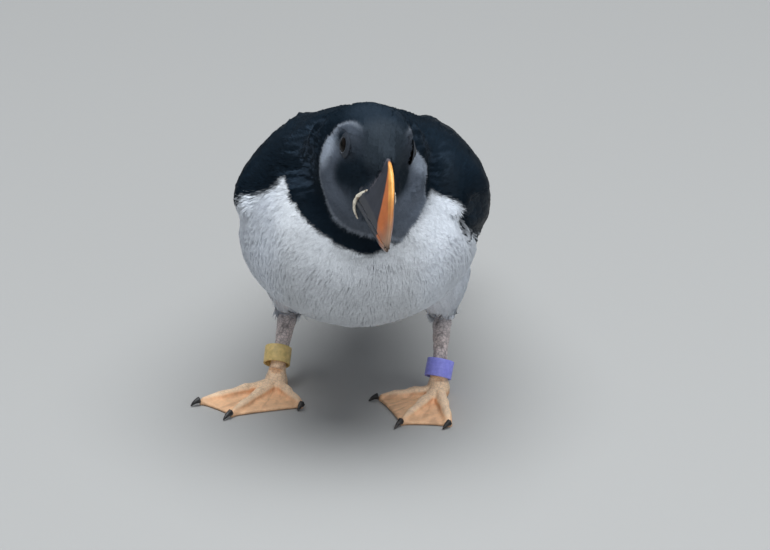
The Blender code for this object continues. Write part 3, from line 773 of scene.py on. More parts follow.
def scatter(weight, count, seed, apart=0.0):
    """Roots for feathers, spread by a weight that each coat point has. apart keeps them from crowding."""
    chance = np.random.default_rng(seed)
    share = weight[coat_faces].mean(axis=1) * face_areas
    share = np.cumsum(share) / share.sum()
    tries = count * (6 if apart else 1)
    face = np.searchsorted(share, chance.random(tries))
    u, v = chance.random((2, tries))
    corner = np.stack([(1 - u) * (1 - v), u * (1 - v), u * v, (1 - u) * v], 1)
    picked = coat_faces[face]

    def at_root(values):
        return (values[picked] * (corner[..., None] if values.ndim > 1 else corner)).sum(1)

    roots = {
        "at": at_root(coat_points),
        "normal": unit(at_root(coat_normals)),
        "flow": unit(at_root(flow)),
        "depth": at_root(coat_depth),
        "wing": at_root(ramp(on_wing, 0.4, 0.6)),
        "by_wing": at_root(by_wing),
        "by_edge": at_root(by_edge),
        "uv": (skin_uv[face] * corner[..., None]).sum(1),
    }
    if apart:
        kept, taken = [], {}
        for index, place in enumerate(roots["at"]):
            cell = tuple(np.floor(place / apart).astype(int))
            crowd = (
                taken.get((cell[0] + dx, cell[1] + dy, cell[2] + dz), ())
                for dx in (-1, 0, 1)
                for dy in (-1, 0, 1)
                for dz in (-1, 0, 1)
            )
            if all(np.abs(place - other).max() > apart for group in crowd for other in group):
                taken.setdefault(cell, []).append(place)
                kept.append(index)
                if len(kept) == count:
                    break
        roots = {key: values[kept] for key, values in roots.items()}
    return roots


def turned(vectors, axes, angle):
    """Vectors turned about axes that they are square to."""
    return vectors * np.cos(angle)[:, None] + np.cross(axes, vectors) * np.sin(angle)[:, None]


def settle(aim, limit):
    """Moves places on to the coat, by no more than a limit, and gives the coat points nearest to them."""
    place, near = onto_coat(aim)
    shift = place - aim
    far = np.linalg.norm(shift, axis=-1, keepdims=True)
    return aim + shift * np.minimum(1, limit / np.maximum(far, 1e-6)), near


def add_bake_map(obj, places, corners):
    """Gives a coat piece its bake map, from the place on the skin's map that each of its points has."""
    layer = obj.data.uv_layers.new(name="OFBake")
    layer.uv.foreach_set("vector", np.clip(places.reshape(-1, 2)[corners], 0, 1).ravel().astype(np.float32))


def light_as(obj, facing):
    """Lets a coat piece take the light as the coat's own surface would."""
    obj.data.normals_split_custom_set_from_vertices(np.stack(facing, 1).reshape(-1, 3).tolist())


# Half the width of the patch of the bake map that one feather has.
PATCH = 0.0014
# A blade of a tuft: share of its length, and of its width there.
DOWNY = ((0.0, 0.8), (0.34, 1.0), (0.7, 0.75), (1.0, 0.0))


def lay_strands(
    name, roots, blades, length, width, seed,
    fan=0.2, spread=1.2, lift=0.0, shade=0.08, glint=0.0, cling=1.0, skyward=0.0, blend=0.55, rows=DOWNY,
    tuck=0.0, steady=0.0,
):
    """Tufts of fine barbs: each blade grows from the skin, then lies along the coat to its tip."""
    chance = np.random.default_rng(seed)
    count = len(roots["at"])
    pick = np.repeat(np.arange(count), blades)
    total = len(pick)
    normal, lie, depth = roots["normal"][pick], roots["flow"][pick], roots["depth"][pick]
    across = np.cross(lie, normal)
    base = roots["at"][pick] + across * (chance.normal(0, spread / 2, total))[:, None]
    base = base + lie * (chance.normal(0, spread / 2, total))[:, None]
    swirl = (ripple(roots["at"], 11, 2)[pick] - 0.5) * fan * 2
    angle = swirl + chance.normal(0, fan / 2, total)
    bend = chance.normal(0, fan / 2, total)
    reach = (np.broadcast_to(length, (count,))[pick]) * (0.65 + 0.6 * chance.random(total))
    half = (np.broadcast_to(width, (count,))[pick]) * (0.7 + 0.6 * chance.random(total)) / 2
    layer = chance.random(total) ** 1.6 * 0.45
    stands = (np.broadcast_to(lift, (count,))[pick]) * chance.random(total)
    roll = chance.normal(0, 0.1, total)
    laid, facing, local = [], [], []
    heading = turned(lie, normal, angle)
    place, near = settle(base, 2.0)
    up = coat_normals[near]
    last, room = 0.0, 1.0
    for part, share in rows:
        if tuck:
            room = np.minimum(room, 1 - 0.97 * ramp(on_wing[near], 0.02, 0.2))
        if part:
            step = (reach * (part - last) * room)[:, None]
            heading = unit(heading - up * (heading * up).sum(1, keepdims=True) * cling)
            heading = turned(heading, up, bend * (part - last))
            place, near = settle(place + heading * step, (0.35 * step + 0.05) * cling)
            up = coat_normals[near]
            last = part
        sunk = -depth * ((1 - ramp(part, 0, 0.5)) * (1.0 - layer) + layer) - 0.05
        sunk = sunk - tuck * ramp(deep_in_wing[near], 0.01, 0.10) * ramp(coat_points[near, 1], -42, -34)
        middle = place + up * (sunk + stands * part**1.5)[:, None]
        beside = unit(np.cross(heading, up))
        beside = unit(turned(beside, heading, roll))
        outward = mixed(up, normal, np.full(total, steady))
        facing.append(unit(outward + 0.14 * np.cross(beside, heading) + (0.0, 0.0, skyward)))
        local.append(coat_colour[near])
        if share:
            aside = beside * (half * share)[:, None]
            laid += [middle - aside, middle + aside]
            facing.append(facing[-1])
            local.append(local[-1])
        else:
            laid.append(middle)
    points = np.stack(laid, 1)
    each = len(laid)
    start = (np.arange(total) * each)[:, None]
    quads = [start + (k, k + 1, k + 3, k + 2) for k in range(0, each - 3, 2)]
    quads = np.concatenate(quads, 1).reshape(-1, 4)
    tips = start + (each - 3, each - 2, each - 1)
    middle_way = onto_coat(base + lie * (reach * 0.45)[:, None])[0]
    colour = plumage_colour(middle_way, roots["wing"][pick])
    colour = colour * (1 + shade * (chance.random(total)[:, None] - 0.5))
    # Painted highlight: a random share of the strands is painted paler as glints.
    colour = colour * (1 + glint * (chance.random(total)[:, None] < 0.15))
    stations = np.repeat([part for part, _ in rows], 2)[:each]
    along = np.interp(stations, (0, 0.34, 0.7, 1), (0.0, 0.6, 0.95, 1.0))[None, :, None]
    # Each blade is darker towards its root: partly the grey feather bases, partly painted shade deep in the
    # coat.
    root_tone_and_shade = np.where(colour.mean(axis=1) > 0.4, 0.97, 0.75)[:, None, None]
    colours = (1 - blend) * colour[:, None, :] + blend * np.stack(local, 1)
    colours = colours * (root_tone_and_shade + (1.06 - root_tone_and_shade) * along)
    obj = add_piece(name, points.reshape(-1, 3), [quads, tips], soft_finish, colours.reshape(-1, 3))
    sides = np.where(stations == 1, 0, np.tile((-1, 1), len(rows))[:each])
    patch = np.stack([sides, stations * 2 - 1], 1) * PATCH
    light_as(obj, facing)
    corners = np.concatenate([quads.ravel(), tips.ravel()])
    add_bake_map(obj, roots["uv"][pick][:, None, :] + patch[None], corners)
    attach(obj, "root")
    return obj


# A vane: share of its length, and of its width there.
VANE_ALONG, VANE_WIDE = (0, 0.25, 0.5, 0.72, 0.9, 1.0), (0.35, 0.8, 1.0, 0.96, 0.7, 0.2)


def lay_vanes(
    name, roots, length, width, seed, lift=0.0, turn=0.12, keep=0.0, rows_along=VANE_ALONG
):
    """Vaned feathers: each a shallow leaf along its shaft, draped over the coat, its root covered."""
    chance = np.random.default_rng(seed)
    count = len(roots["at"])
    normal, lie, depth = roots["normal"], roots["flow"], roots["depth"]
    angle = chance.normal(0, turn, count)
    reach = np.broadcast_to(length, (count,)) * (0.85 + 0.3 * chance.random(count))
    half = np.broadcast_to(width, (count,)) * (0.85 + 0.3 * chance.random(count)) / 2
    heading = turned(lie, normal, angle)
    layer = chance.random(count) * 0.15
    outline = np.interp(rows_along, VANE_ALONG, VANE_WIDE)
    stack, facing = [], []
    shaft, up, last, room = roots["at"], normal, 0.0, np.ones(count)
    for part, share in zip(rows_along, outline):
        if part:
            step = (reach * (part - last) * room)[:, None]
            heading = unit(heading - up * (heading * up).sum(1, keepdims=True))
            shaft, near = settle(shaft + heading * step, 0.6 * step + 0.2)
            up = coat_normals[near]
            room = np.minimum(room, np.maximum(by_edge[near], keep))
            last = part
        across = unit(np.cross(heading, up))
        for side in (-1, -0.5, 0, 0.5, 1):
            off = (half * share * side * room)[:, None]
            place, near = settle(shaft + across * off, 0.9 * np.abs(off))
            droop = 0.10 * abs(side) ** 1.5 * (1 + part)
            sunk = -depth * (0.85 * (1 - part) ** 1.3 + layer) - droop - 0.08
            stack.append(place + up * (sunk + lift * part**2)[:, None])
            outward = 0.5 * (up + coat_normals[near]) + across * side * 0.22
            facing.append(unit(outward + heading * 0.3 * part**3))
    points = np.stack(stack, 1)
    each = len(rows_along) * 5
    start = (np.arange(count) * each)[:, None]
    quads = [
        start + np.array((row * 5 + k, row * 5 + k + 1, row * 5 + k + 6, row * 5 + k + 5))
        for row in range(len(rows_along) - 1)
        for k in range(4)
    ]
    quads = np.concatenate(quads, 1).reshape(-1, 4)
    middle_way = onto_coat(roots["at"] + heading * (reach * 0.6)[:, None])[0]
    colour = plumage_colour(middle_way, roots["wing"]) * (1 + 0.35 * (chance.random(count)[:, None] - 0.5))
    # Painted sheen and shade: each vane is paler towards its edges and tip, and darker at its root where the
    # next feather covers it.
    edge = np.array((1.25, 1.0, 0.85, 1.0, 1.25))
    along = np.interp(rows_along, (0, 0.5, 0.85, 1), (0.75, 0.95, 1.1, 1.45))
    tone = (edge[None, :] * along[:, None]).ravel()
    colours = colour[:, None, :] * tone[None, :, None]
    obj = add_piece(name, points.reshape(-1, 3), quads, vane_finish, colours.reshape(-1, 3))
    light_as(obj, facing)
    spots = np.stack(np.meshgrid(np.linspace(-1, 1, 5), np.array(rows_along) * 2 - 1), -1).reshape(-1, 2)
    add_colours(obj.data, "barbs", np.broadcast_to(spots, (count, each, 2)).reshape(-1, 2))
    add_bake_map(obj, roots["uv"][:, None, :] + (spots * PATCH)[None], quads.ravel())
    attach(obj, "root")
    return obj


# ----------------------------------------
# The breast and belly: dense white body feathers, silky and close, lying down and back. Each grows
# from the skin under its neighbours. Longer, looser ones cover the thighs.
# ----------------------------------------
feathered = ramp(ahead_of_feathers(coat_head), 0.3, -0.3)
feathered = np.where(np.linalg.norm(coat_head - BILL_BASE, axis=1) < 40, feathered, 1.0)
on_head = ramp(np.linalg.norm(coat_head, axis=1), 50, 42)
in_front = ramp(coat_points[:, 1], -34, -46)
breast_part = coat_white * in_front * (1 - on_thigh) * (on_wing < 0.02)
belly_part = coat_white * (1 - in_front) * (1 - on_thigh) * (on_wing < 0.02)
breast_roots = scatter(breast_part, count=7900, seed=11)
belly_roots = scatter(belly_part, count=7000, seed=13)
thigh_roots = scatter(ramp(on_thigh, 0.1, 0.6) * ramp(coat_normals[:, 2], -0.8, -0.5), count=4200, seed=15)
breast_length, belly_length = 7.5 * breast_roots["by_wing"], 9.0 * belly_roots["by_wing"]
breast = lay_strands("breast_coat", breast_roots, 5, breast_length, width=0.4, seed=12, tuck=1.1)
belly = lay_strands("belly_coat", belly_roots, 5, belly_length, width=0.55, seed=14, tuck=1.1)
thighs = lay_strands(
    "thigh_coat", thigh_roots, 6, 7.5, width=0.34, seed=16,
    fan=0.3, lift=0.4, cling=0.6, skyward=0.2, steady=0.8,
)

# ----------------------------------------
# The hood: short, velvety blue-black feathers over nape, neck and the collar round the throat. They
# grow from the skin and lie back and down; painted sheen streaks on the neck's sides and painted glints on
# some strands stand for their shine.
# ----------------------------------------
dark = 1 - coat_white
uneven = 12 * ripple(coat_points, 7, 31)
shoulder = ramp(coat_points[:, 2], 94, 106) * ramp(coat_points[:, 1] + uneven, -6, -36)
hood_part = dark * (1 - on_wing * (1 - shoulder)) * (1 - on_head)
hood_part = hood_part * ramp(coat_points[:, 1], 0, -45) * feathered
hood_roots = scatter(hood_part, count=7400, seed=21)
hood_length = 8.0 * np.interp(hood_roots["at"][:, 1], (-60, -20), (1.0, 0.7))
hood = lay_strands(
    "hood_coat", hood_roots, 5, hood_length, width=0.4, seed=22, shade=0.35, glint=0.5, blend=0.15
)

# ----------------------------------------
# The head: the finest plumage, like velvet, growing from the skin and shortest round the bill and the
# eyes. It is made in three pieces: each side of the face, and the crown.
# ----------------------------------------
clear_eye = ramp(from_eye, 2.95, 3.3)
face_side = ramp(coat_head[:, 1], 14, 10)


def head_strands(name, weight, count, seed, blades, rows, size):
    roots = scatter(weight * clear_eye * feathered, count, seed)
    away = np.linalg.norm(in_head(roots["at"]) - BILL_BASE, axis=1)
    long = np.interp(away, (4, 12, 30, 50), (0.9, 1.6, 3.0, 5.5)) * size
    wide = np.interp(away, (4, 20, 50), (0.2, 0.26, 0.42))
    piece = lay_strands(
        name, roots, blades, long, wide, seed + 1, fan=0.15, spread=0.8, shade=0.2, blend=0.0, rows=rows
    )
    return piece


VELVET = ((0.0, 0.9), (0.55, 0.85), (1.0, 0.0))
face_part = on_head * face_side
bird_right = ramp(coat_head[:, 0], 1, -1)
head_strands("face_coat_right", face_part * bird_right, 10800, 31, 6, VELVET, 1.0)
head_strands("face_coat_left", face_part * (1 - bird_right), 10800, 35, 6, VELVET, 1.0)
head_strands("crown_coat", on_head * (1 - face_side), 7600, 33, 5, DOWNY, 0.9)

# ----------------------------------------
# The back: small rounded vaned feathers, blue-black, each painted paler towards its edges and tip as sheen
# and darker at its covered root as shade. Each is rooted in the skin and laid over the next like a slate.
# ----------------------------------------
back_part = dark * (1 - on_wing) * (1 - on_head) * ramp(coat_points[:, 1], -62, -45)
back_roots = scatter(back_part, count=3600, seed=41, apart=1.6)
back_size = np.interp(back_roots["at"][:, 1], (-60, -25, 25), (0.42, 0.62, 1.0))
back_size = back_size * np.interp(back_roots["by_wing"], (0.3, 0.8), (0.6, 1.0))
VANE_LENGTH, VANE_WIDTH = 10.5, 6.6
mantle = lay_vanes("mantle", back_roots, VANE_LENGTH * back_size, VANE_WIDTH * back_size, seed=42)

# ----------------------------------------
# The coverts: the small vaned feathers of the folded wings, rooted in the wing's skin and laid over the
# roots of the flight feathers.
# ----------------------------------------
for side, word in ((1, "left"), (-1, "right")):
    low_rear = ramp(coat_points[:, 1], 30, 55) * ramp(coat_points[:, 2] - 61 + 0.1 * coat_points[:, 1], 12, 5)
    part = ramp(on_wing, 0.5, 0.9) * (coat_points[:, 0] * side > 0) * (1 - low_rear) * (1 - 0.75 * shoulder)
    part = part * ramp(flatness, 0.35, 0.6)
    wing_roots = scatter(part, count=2400, seed=51 + side, apart=1.8)
    wing_roots["wing"][:] = 1
    size = np.interp(wing_roots["by_wing"], (0.3, 0.5), (1.0, 0.6)) * wing_roots["by_edge"]
    size = size * np.interp(wing_roots["at"][:, 1], (-50, -20, 40), (0.6, 0.85, 1.1))
    coverts = lay_vanes("coverts_" + word, wing_roots, VANE_LENGTH * size, VANE_WIDTH * size, seed=53 + side)

# ----------------------------------------
# The flight feathers: long stiff quills of the folded wing, each overlapping the next, their tips
# reaching back over the root of the tail.
# ----------------------------------------
QUILL_ROWS = (0, 0.1, 0.2, 0.3, 0.4, 0.5, 0.6, 0.7, 0.8, 0.88, 0.94, 0.98, 1.0)


def roots_at(places):
    """Roots on the coat nearest to chosen places in bird measures."""
    near = [np.linalg.norm(coat_points - place, axis=1).argmin() for place in places]
    corner = {}
    for index, vertex in enumerate(coat_faces.ravel()):
        corner.setdefault(vertex, index)
    flat_uv = skin_uv.reshape(-1, 2)
    return {
        "at": coat_points[near],
        "normal": coat_normals[near],
        "flow": flow[near],
        "depth": coat_depth[near],
        "wing": ramp(on_wing[near], 0.4, 0.6),
        "uv": flat_uv[[corner[vertex] for vertex in near]],
    }


def wing_place(side, station, share):
    """A place on a folded wing's outer face: how far back, and its share of the way up the wing."""
    near = (on_wing > 0.5) & (coat_points[:, 0] * side > 0) & (np.abs(coat_points[:, 1] - station) < 2.5)
    spots = coat_points[near]
    low, high = spots[:, 2].min(), spots[:, 2].max()
    off = np.abs(spots[:, 2] - low - share * (high - low))
    return spots[(off - 0.4 * side * spots[:, 0]).argmin()]


QUILLS, FIRST_ROW = 18, 10
for side, word in ((1, "left"), (-1, "right")):
    order = np.arange(QUILLS)[::-1]
    first_row, above = order < FIRST_ROW, order - FIRST_ROW
    start_at = np.where(first_row, 4 + 4.2 * order, -2 + 5 * above)
    start_up = np.where(first_row, 0.10 + 0.02 * order, 0.40 + 0.03 * above)
    end_at = np.where(first_row, 106 - 4.4 * order, 64 + 3.6 * above)
    end_up = np.where(first_row, 0.16 + 0.045 * order, 0.62 + 0.03 * above)
    starts = np.array([wing_place(side, *spot) for spot in zip(start_at, start_up)])
    ends = np.array([wing_place(side, *spot) for spot in zip(end_at, end_up)])
    roots = roots_at(starts)
    roots["flow"] = unit(ends - roots["at"])
    roots["wing"][:] = 1
    long = np.linalg.norm(ends - roots["at"], axis=1) * 1.06
    lift = np.where(first_row, 0.25 + 0.05 * order, 0.75)
    piece = lay_vanes(
        "flight_feathers_" + word, roots, long, width=7.5, seed=61 + side,
        lift=lift, turn=0.0, keep=0.8, rows_along=QUILL_ROWS,
    )

# ----------------------------------------
# The tail: sixteen short stiff feathers, black, rooted side by side in the rump and spread in a shallow
# fan, the middle ones on top.
# ----------------------------------------
TAIL_ROOT, TAIL_LENGTH, TAIL_SPREAD, TAIL_DROP = np.array((0.0, 70.0, 66.5)), 55.5, 15.0, -18.5
TAIL_PAIRS, TAIL_WIDTH, TAIL_COLUMNS, TAIL_ROWS = 8, 9.5, 9, 22
TAIL_OUTLINE = ((0, 0.3, 0.75, 0.9, 0.97, 1), (0.45, 0.85, 1, 0.85, 0.5, 0.08))


def build_tail():
    chance = np.random.default_rng(71)
    points, quads, colours = [], [], []
    part = np.linspace(0, 1, TAIL_ROWS)
    side_steps = np.linspace(-1, 1, TAIL_COLUMNS)
    for pair in range(TAIL_PAIRS):
        for side in (-1, 1):
            turn = math.radians(side * (pair + 0.5) * TAIL_SPREAD / TAIL_PAIRS)
            reach = TAIL_LENGTH * (1 - 0.012 * pair**1.4) * (1 + 0.02 * chance.normal())
            drop = math.radians(TAIL_DROP)
            level, fall = math.cos(turn) * math.cos(drop), math.cos(turn) * math.sin(drop)
            ahead = np.array((math.sin(turn), level, fall))
            over = np.array((0.0, -math.sin(drop), math.cos(drop)))
            across = np.cross(ahead, over)
            half = TAIL_WIDTH / 2 * np.interp(part, *TAIL_OUTLINE)
            root = TAIL_ROOT + np.array((side * (0.6 + 1.1 * pair), 0, 0))
            lift = 0.9 - 0.42 * pair - 0.15 * (side > 0)
            shaft = root + ahead * (part * reach)[:, None] + over * lift
            sheet = shaft[:, None, :] + across * (half[:, None] * side_steps)[..., None]
            bow = -0.5 * side_steps**2 + 0.25 * np.exp(-((side_steps / 0.12) ** 2))
            sheet = sheet + over * bow[None, :, None]
            base = sum(len(p) for p in points)
            points.append(sheet.reshape(-1, 3))
            index = base + np.arange(TAIL_ROWS * TAIL_COLUMNS).reshape(TAIL_ROWS, TAIL_COLUMNS)
            ring = [index[:-1, :-1], index[1:, :-1], index[1:, 1:], index[:-1, 1:]]
            quads.append(np.stack(ring, -1).reshape(-1, 4))
            tone = BLACK * (0.9 + 0.2 * chance.random())
            # Painted sheen and shade: each feather is darker at its root under the coverts and paler towards
            # its tip and edges; its middle line is darker.
            tint = np.interp(part, (0, 0.8, 1), (0.8, 1.0, 1.5))[:, None]
            tint = tint * np.interp(np.abs(side_steps), (0, 0.1, 1), (0.6, 0.95, 1.15))
            colours.append((tint[..., None] * tone).reshape(-1, 3))
    quads = np.concatenate(quads)
    tail = add_piece("tail_feathers", np.concatenate(points), quads, vane_finish, np.concatenate(colours))
    here = roots_at(np.array([TAIL_ROOT]))["uv"][0]
    spots = np.stack(np.meshgrid(np.linspace(-1, 1, TAIL_COLUMNS), np.linspace(-1, 1, TAIL_ROWS)), -1)
    spots = np.tile(spots.reshape(-1, 2), (TAIL_PAIRS * 2, 1))
    add_colours(tail.data, "barbs", spots)
    add_bake_map(tail, here + spots * PATCH, quads.ravel())
    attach(tail, "root")
    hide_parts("tail")


build_tail()

# ----------------------------------------
# The eyes: dark brown glossy balls set in the skull, each in a ring of bare dark lid skin that has a thin
# pale rim against the ball.
# ----------------------------------------
EYE_RADIUS, EYE_OUT, EYE_AHEAD, EYE_UP = 3.95, 10.6, -0.10, 0.05
# The lid's section: how far out from the eye's axis, and how far along it.
LID_RING = ((2.75, 2.6), (2.82, 2.85), (3.0, 3.0), (3.2, 3.0), (3.5, 2.88), (3.9, 2.7), (4.3, 2.5))
LID_RING += ((4.8, 2.1),)
IRIS = np.array((0.007, 0.005, 0.004))
LID = np.array((0.032, 0.039, 0.051))
LID_RIM = np.array((0.36, 0.39, 0.44))


def eye_colour(points):
    """A wide black pupil and a dark brown iris with fine rays, near black at its edge."""
    out = np.linalg.norm(points[:, :2], axis=1) / MM
    rays = ripple(np.stack([np.arctan2(points[:, 1], points[:, 0]) * 9, out * 0.6, 0 * out], 1), 1.0, 21)
    iris = IRIS * (0.6 + 0.9 * rays)[:, None] * (1 - 0.6 * ramp(out, 2.0, 2.6))[:, None]
    return iris * ramp(out, 1.35, 1.6)[:, None] + 0.0012


def lid_colour(points):
    """Dark lid skin with a thin pale rim next to the eye, and small wrinkles round it."""
    out = np.linalg.norm(points[:, :2], axis=1) / MM
    around = np.arctan2(points[:, 1], points[:, 0])
    folds = ripple(np.stack([np.cos(around) * 6, np.sin(around) * 6, out * 2.5], 1), 1.1, 23)
    colour = mixed(np.broadcast_to(LID, points.shape), LID_RIM, ramp(out, 3.06, 2.90) * (0.55 + 0.45 * folds))
    return colour * (0.7 + 0.6 * folds)[:, None]


def clear_finish(name, roughness, shine):
    """A finish for wet or bare parts of the eye: colours from the piece, broken up very finely."""
    finish = grained_finish(name, 0.5, 2600, 0.05, shine, "tint")
    tree, shader = inside(finish)
    tree.links.remove(shader.inputs["Roughness"].links[0])
    shader.inputs["Roughness"].default_value = roughness
    return finish


eye_finish = clear_finish("eye", 0.07, 0.12)
lid_finish = clear_finish("lid_skin", 0.55, 0.2)


def smooth_mesh(bm, name, finish):
    """Turns a worked shape into a smooth mesh with its finish."""
    mesh = bpy.data.meshes.new(name)
    bm.to_mesh(mesh)
    bm.free()
    mesh.shade_smooth()
    mesh.materials.append(finish)
    return mesh


def spun(section, closed, steps):
    """A section of places out from +Z and along it, in millimetres, spun round +Z."""
    bm = bmesh.new()
    line = [bm.verts.new((out * MM, 0, along * MM)) for out, along in section]
    pairs = zip(line[-1:] + line, line) if closed else zip(line, line[1:])
    spine = [bm.edges.new(pair) for pair in pairs]
    bmesh.ops.spin(
        bm, geom=line + spine, axis=(0, 0, 1), cent=(0, 0, 0), angle=math.tau, steps=steps, use_merge=True
    )
    return bm


def placed_on_head(bm, name, finish, eye_side, colour_of):
    """Turns a piece made round +Z to the eye's axis, sets it on the head, and makes it an object."""
    tints = colour_of(np.array([vert.co[:] for vert in bm.verts]))
    axis = Vector((eye_side * 1.0, EYE_AHEAD, EYE_UP)).normalized()
    turn = axis.to_track_quat("Z", "Y").to_matrix().to_4x4()
    middle = Matrix.Translation(Vector((eye_side * EYE_OUT, 0.0, 0.0)) * MM)
    head = Matrix.Translation(BIRD_ORIGIN + HEAD_OVER_GROUND * MM) @ HEAD_TURN.to_4x4()
    bmesh.ops.transform(bm, matrix=head @ middle @ turn, verts=bm.verts)
    bmesh.ops.recalc_face_normals(bm, faces=bm.faces)
    mesh = smooth_mesh(bm, name, finish)
    add_colours(mesh, "tint", tints)
    obj = add_object(name, mesh)
    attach(obj, "root")
    return obj


for side, word in ((1, "left"), (-1, "right")):
    ball = bmesh.new()
    bmesh.ops.create_uvsphere(ball, u_segments=48, v_segments=32, radius=EYE_RADIUS * MM)
    ball = placed_on_head(ball, "eyeball_" + word, eye_finish, side, eye_colour)
    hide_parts("eye_" + word)
    lid = spun(LID_RING, closed=False, steps=64)
    lid = placed_on_head(lid, "lid_ring_" + word, lid_finish, side, lid_colour)

# ----------------------------------------
# The bill: a deep blade of horn over the jaws, in an upper and a lower half, dark at the base where its
# bright plates are shed, orange in front, with a painted highlight along its top.
# ----------------------------------------
PLATE = np.array((0.038, 0.041, 0.053))
# The next colour is a painted highlight: the top of the orange horn, where the light from above falls.
RIDGE_HIGHLIGHT = np.array((0.92, 0.42, 0.09))
FLANK = np.array((0.60, 0.17, 0.05))
TIP = np.array((0.30, 0.19, 0.13))
BILL_EDGE_SKIN = np.array((0.13, 0.12, 0.14))
# The bill's side, in head measures: where it starts and how long it is, and heights at its base.
BILL_START, BILL_LENGTH, BILL_CROWDING = -12, 28.5, 1.15
GAPE_HEIGHT, GAPE_DROP, RIDGE_HEIGHT, RIDGE_DROP, RIDGE_ARCH = -14.5, 4, 4.6, 24.1, 2.6


def surface_finish(name, roughness, grain, bump, coat=0.0):
    finish = grained_finish(name, roughness, grain, bump, colours="tint")
    inside(finish)[1].inputs["Coat Weight"].default_value = coat
    return finish


horn_finish = surface_finish("bill_horn", 0.38, 500, 0.25, 0.15)


def bill_colour(points):
    head = in_head(points)
    x, y, z = head.T
    outwards = np.clip((BILL_START - y) / BILL_LENGTH, 0, 1)
    along = 1 - (1 - outwards) ** (1 / BILL_CROWDING)
    gape = GAPE_HEIGHT - GAPE_DROP * along
    culmen = RIDGE_HEIGHT - RIDGE_DROP * along**RIDGE_ARCH
    rise = np.clip((z - gape) / np.maximum(culmen - gape, 0.5), 0, 1)
    start = 0.10 + 0.55 * (1 - rise) ** 0.45
    in_front = ramp(along - start, -0.015, 0.02)
    colour = mixed(np.broadcast_to(PLATE, points.shape), FLANK, in_front)
    # Painted highlight: the top of the orange horn is painted brighter and yellower.
    highlight_from = 1 - 0.25 * (np.clip(along - 0.16, 0, 1) / 0.53) ** 1.1
    colour = mixed(colour, RIDGE_HIGHLIGHT, in_front * ramp(rise - highlight_from, -0.03, 0.02))
    colour = mixed(colour, PLATE * 0.5, np.exp(-(((along - start + 0.02) / 0.012) ** 2)) * 0.6)
    colour = mixed(colour, FLANK * 0.75, ramp(along, 0.5, 0.75) * in_front * 0.7)
    colour = mixed(colour, TIP, ramp(along, 0.66, 0.95))
    colour = mixed(colour, TIP * 0.3, ramp(along, 0.93, 1.0))
    edge = np.exp(-(((ahead_of_feathers(head) - 0.6) / 0.45) ** 2))
    colour = mixed(colour, BILL_EDGE_SKIN, edge * (rise > 0.02) * 0.6)
    return colour * (0.86 + 0.28 * ripple(points, 2.5, 12))[:, None]


HORN_GRAIN = 0.4
for node in ("bill_upper", "bill_lower"):
    points, faces = fused(node + "_horn", (node,), HORN_GRAIN, 0.0)
    points = smoothed(points, edges_of(faces), 4)
    horn = add_piece(node + "_horn", points, faces, horn_finish, bill_colour(points), "tint")
    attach(horn, "root")
    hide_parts(node)

# ----------------------------------------
# The legs: shanks of scaly grey skin over bone, and orange-pink feet with three toes joined by creased
# webs. Shank and foot are one skin.
# ----------------------------------------
WEB = np.array((0.90, 0.54, 0.31))
TOE = np.array((0.98, 0.70, 0.47))
SHANK = np.array((0.74, 0.63, 0.61))
# The next colour is painted shade for the top of the shank, under the belly.
SHANK_TOP_SHADE = np.array((0.54, 0.49, 0.50))
# The next colour is painted shade for the creases of the feet.
CREASE_SHADE = np.array((0.40, 0.20, 0.12))
# How deep wrinkles are, how high the lowest points stand, and how finely the leg is remade and grown.
FOLD, SOLE, LEG_GRAIN, LEG_GROWTH = 0.22, 0.02, 0.5, 0.2


def leg_material():
    """Bare leg skin: small raised plates on shank and toes, fine wrinkles on the webs."""
    finish = surface_finish("leg_skin", 0.5, 900, 0.35)
    tree, shader = inside(finish)
    place = add_node(tree, "ShaderNodeTexCoord", {}, "Object")
    place = add_node(tree, "ShaderNodeMapping", {"Vector": place, "Scale": (1, 1, 1.35)}, "Vector")
    plates = {"Vector": place, "Scale": 720}
    plates = add_node(tree, "ShaderNodeTexVoronoi", plates, "Distance", feature="DISTANCE_TO_EDGE")
    plates = add_node(tree, "ShaderNodeMapRange", {"Value": plates, "From Max": 0.14}, "Result")
    gap = worked(tree, "MULTIPLY", worked(tree, "SUBTRACT", 1, plates), stored(tree, "scaly"))
    base = shader.inputs["Base Color"]
    scale_colour(tree, base, base.links[0].from_socket, between(tree, gap, 1.0, 0.55))
    add_relief(tree, shader, gap, 0.6, GRAIN_DEPTH, invert=True)
    return finish


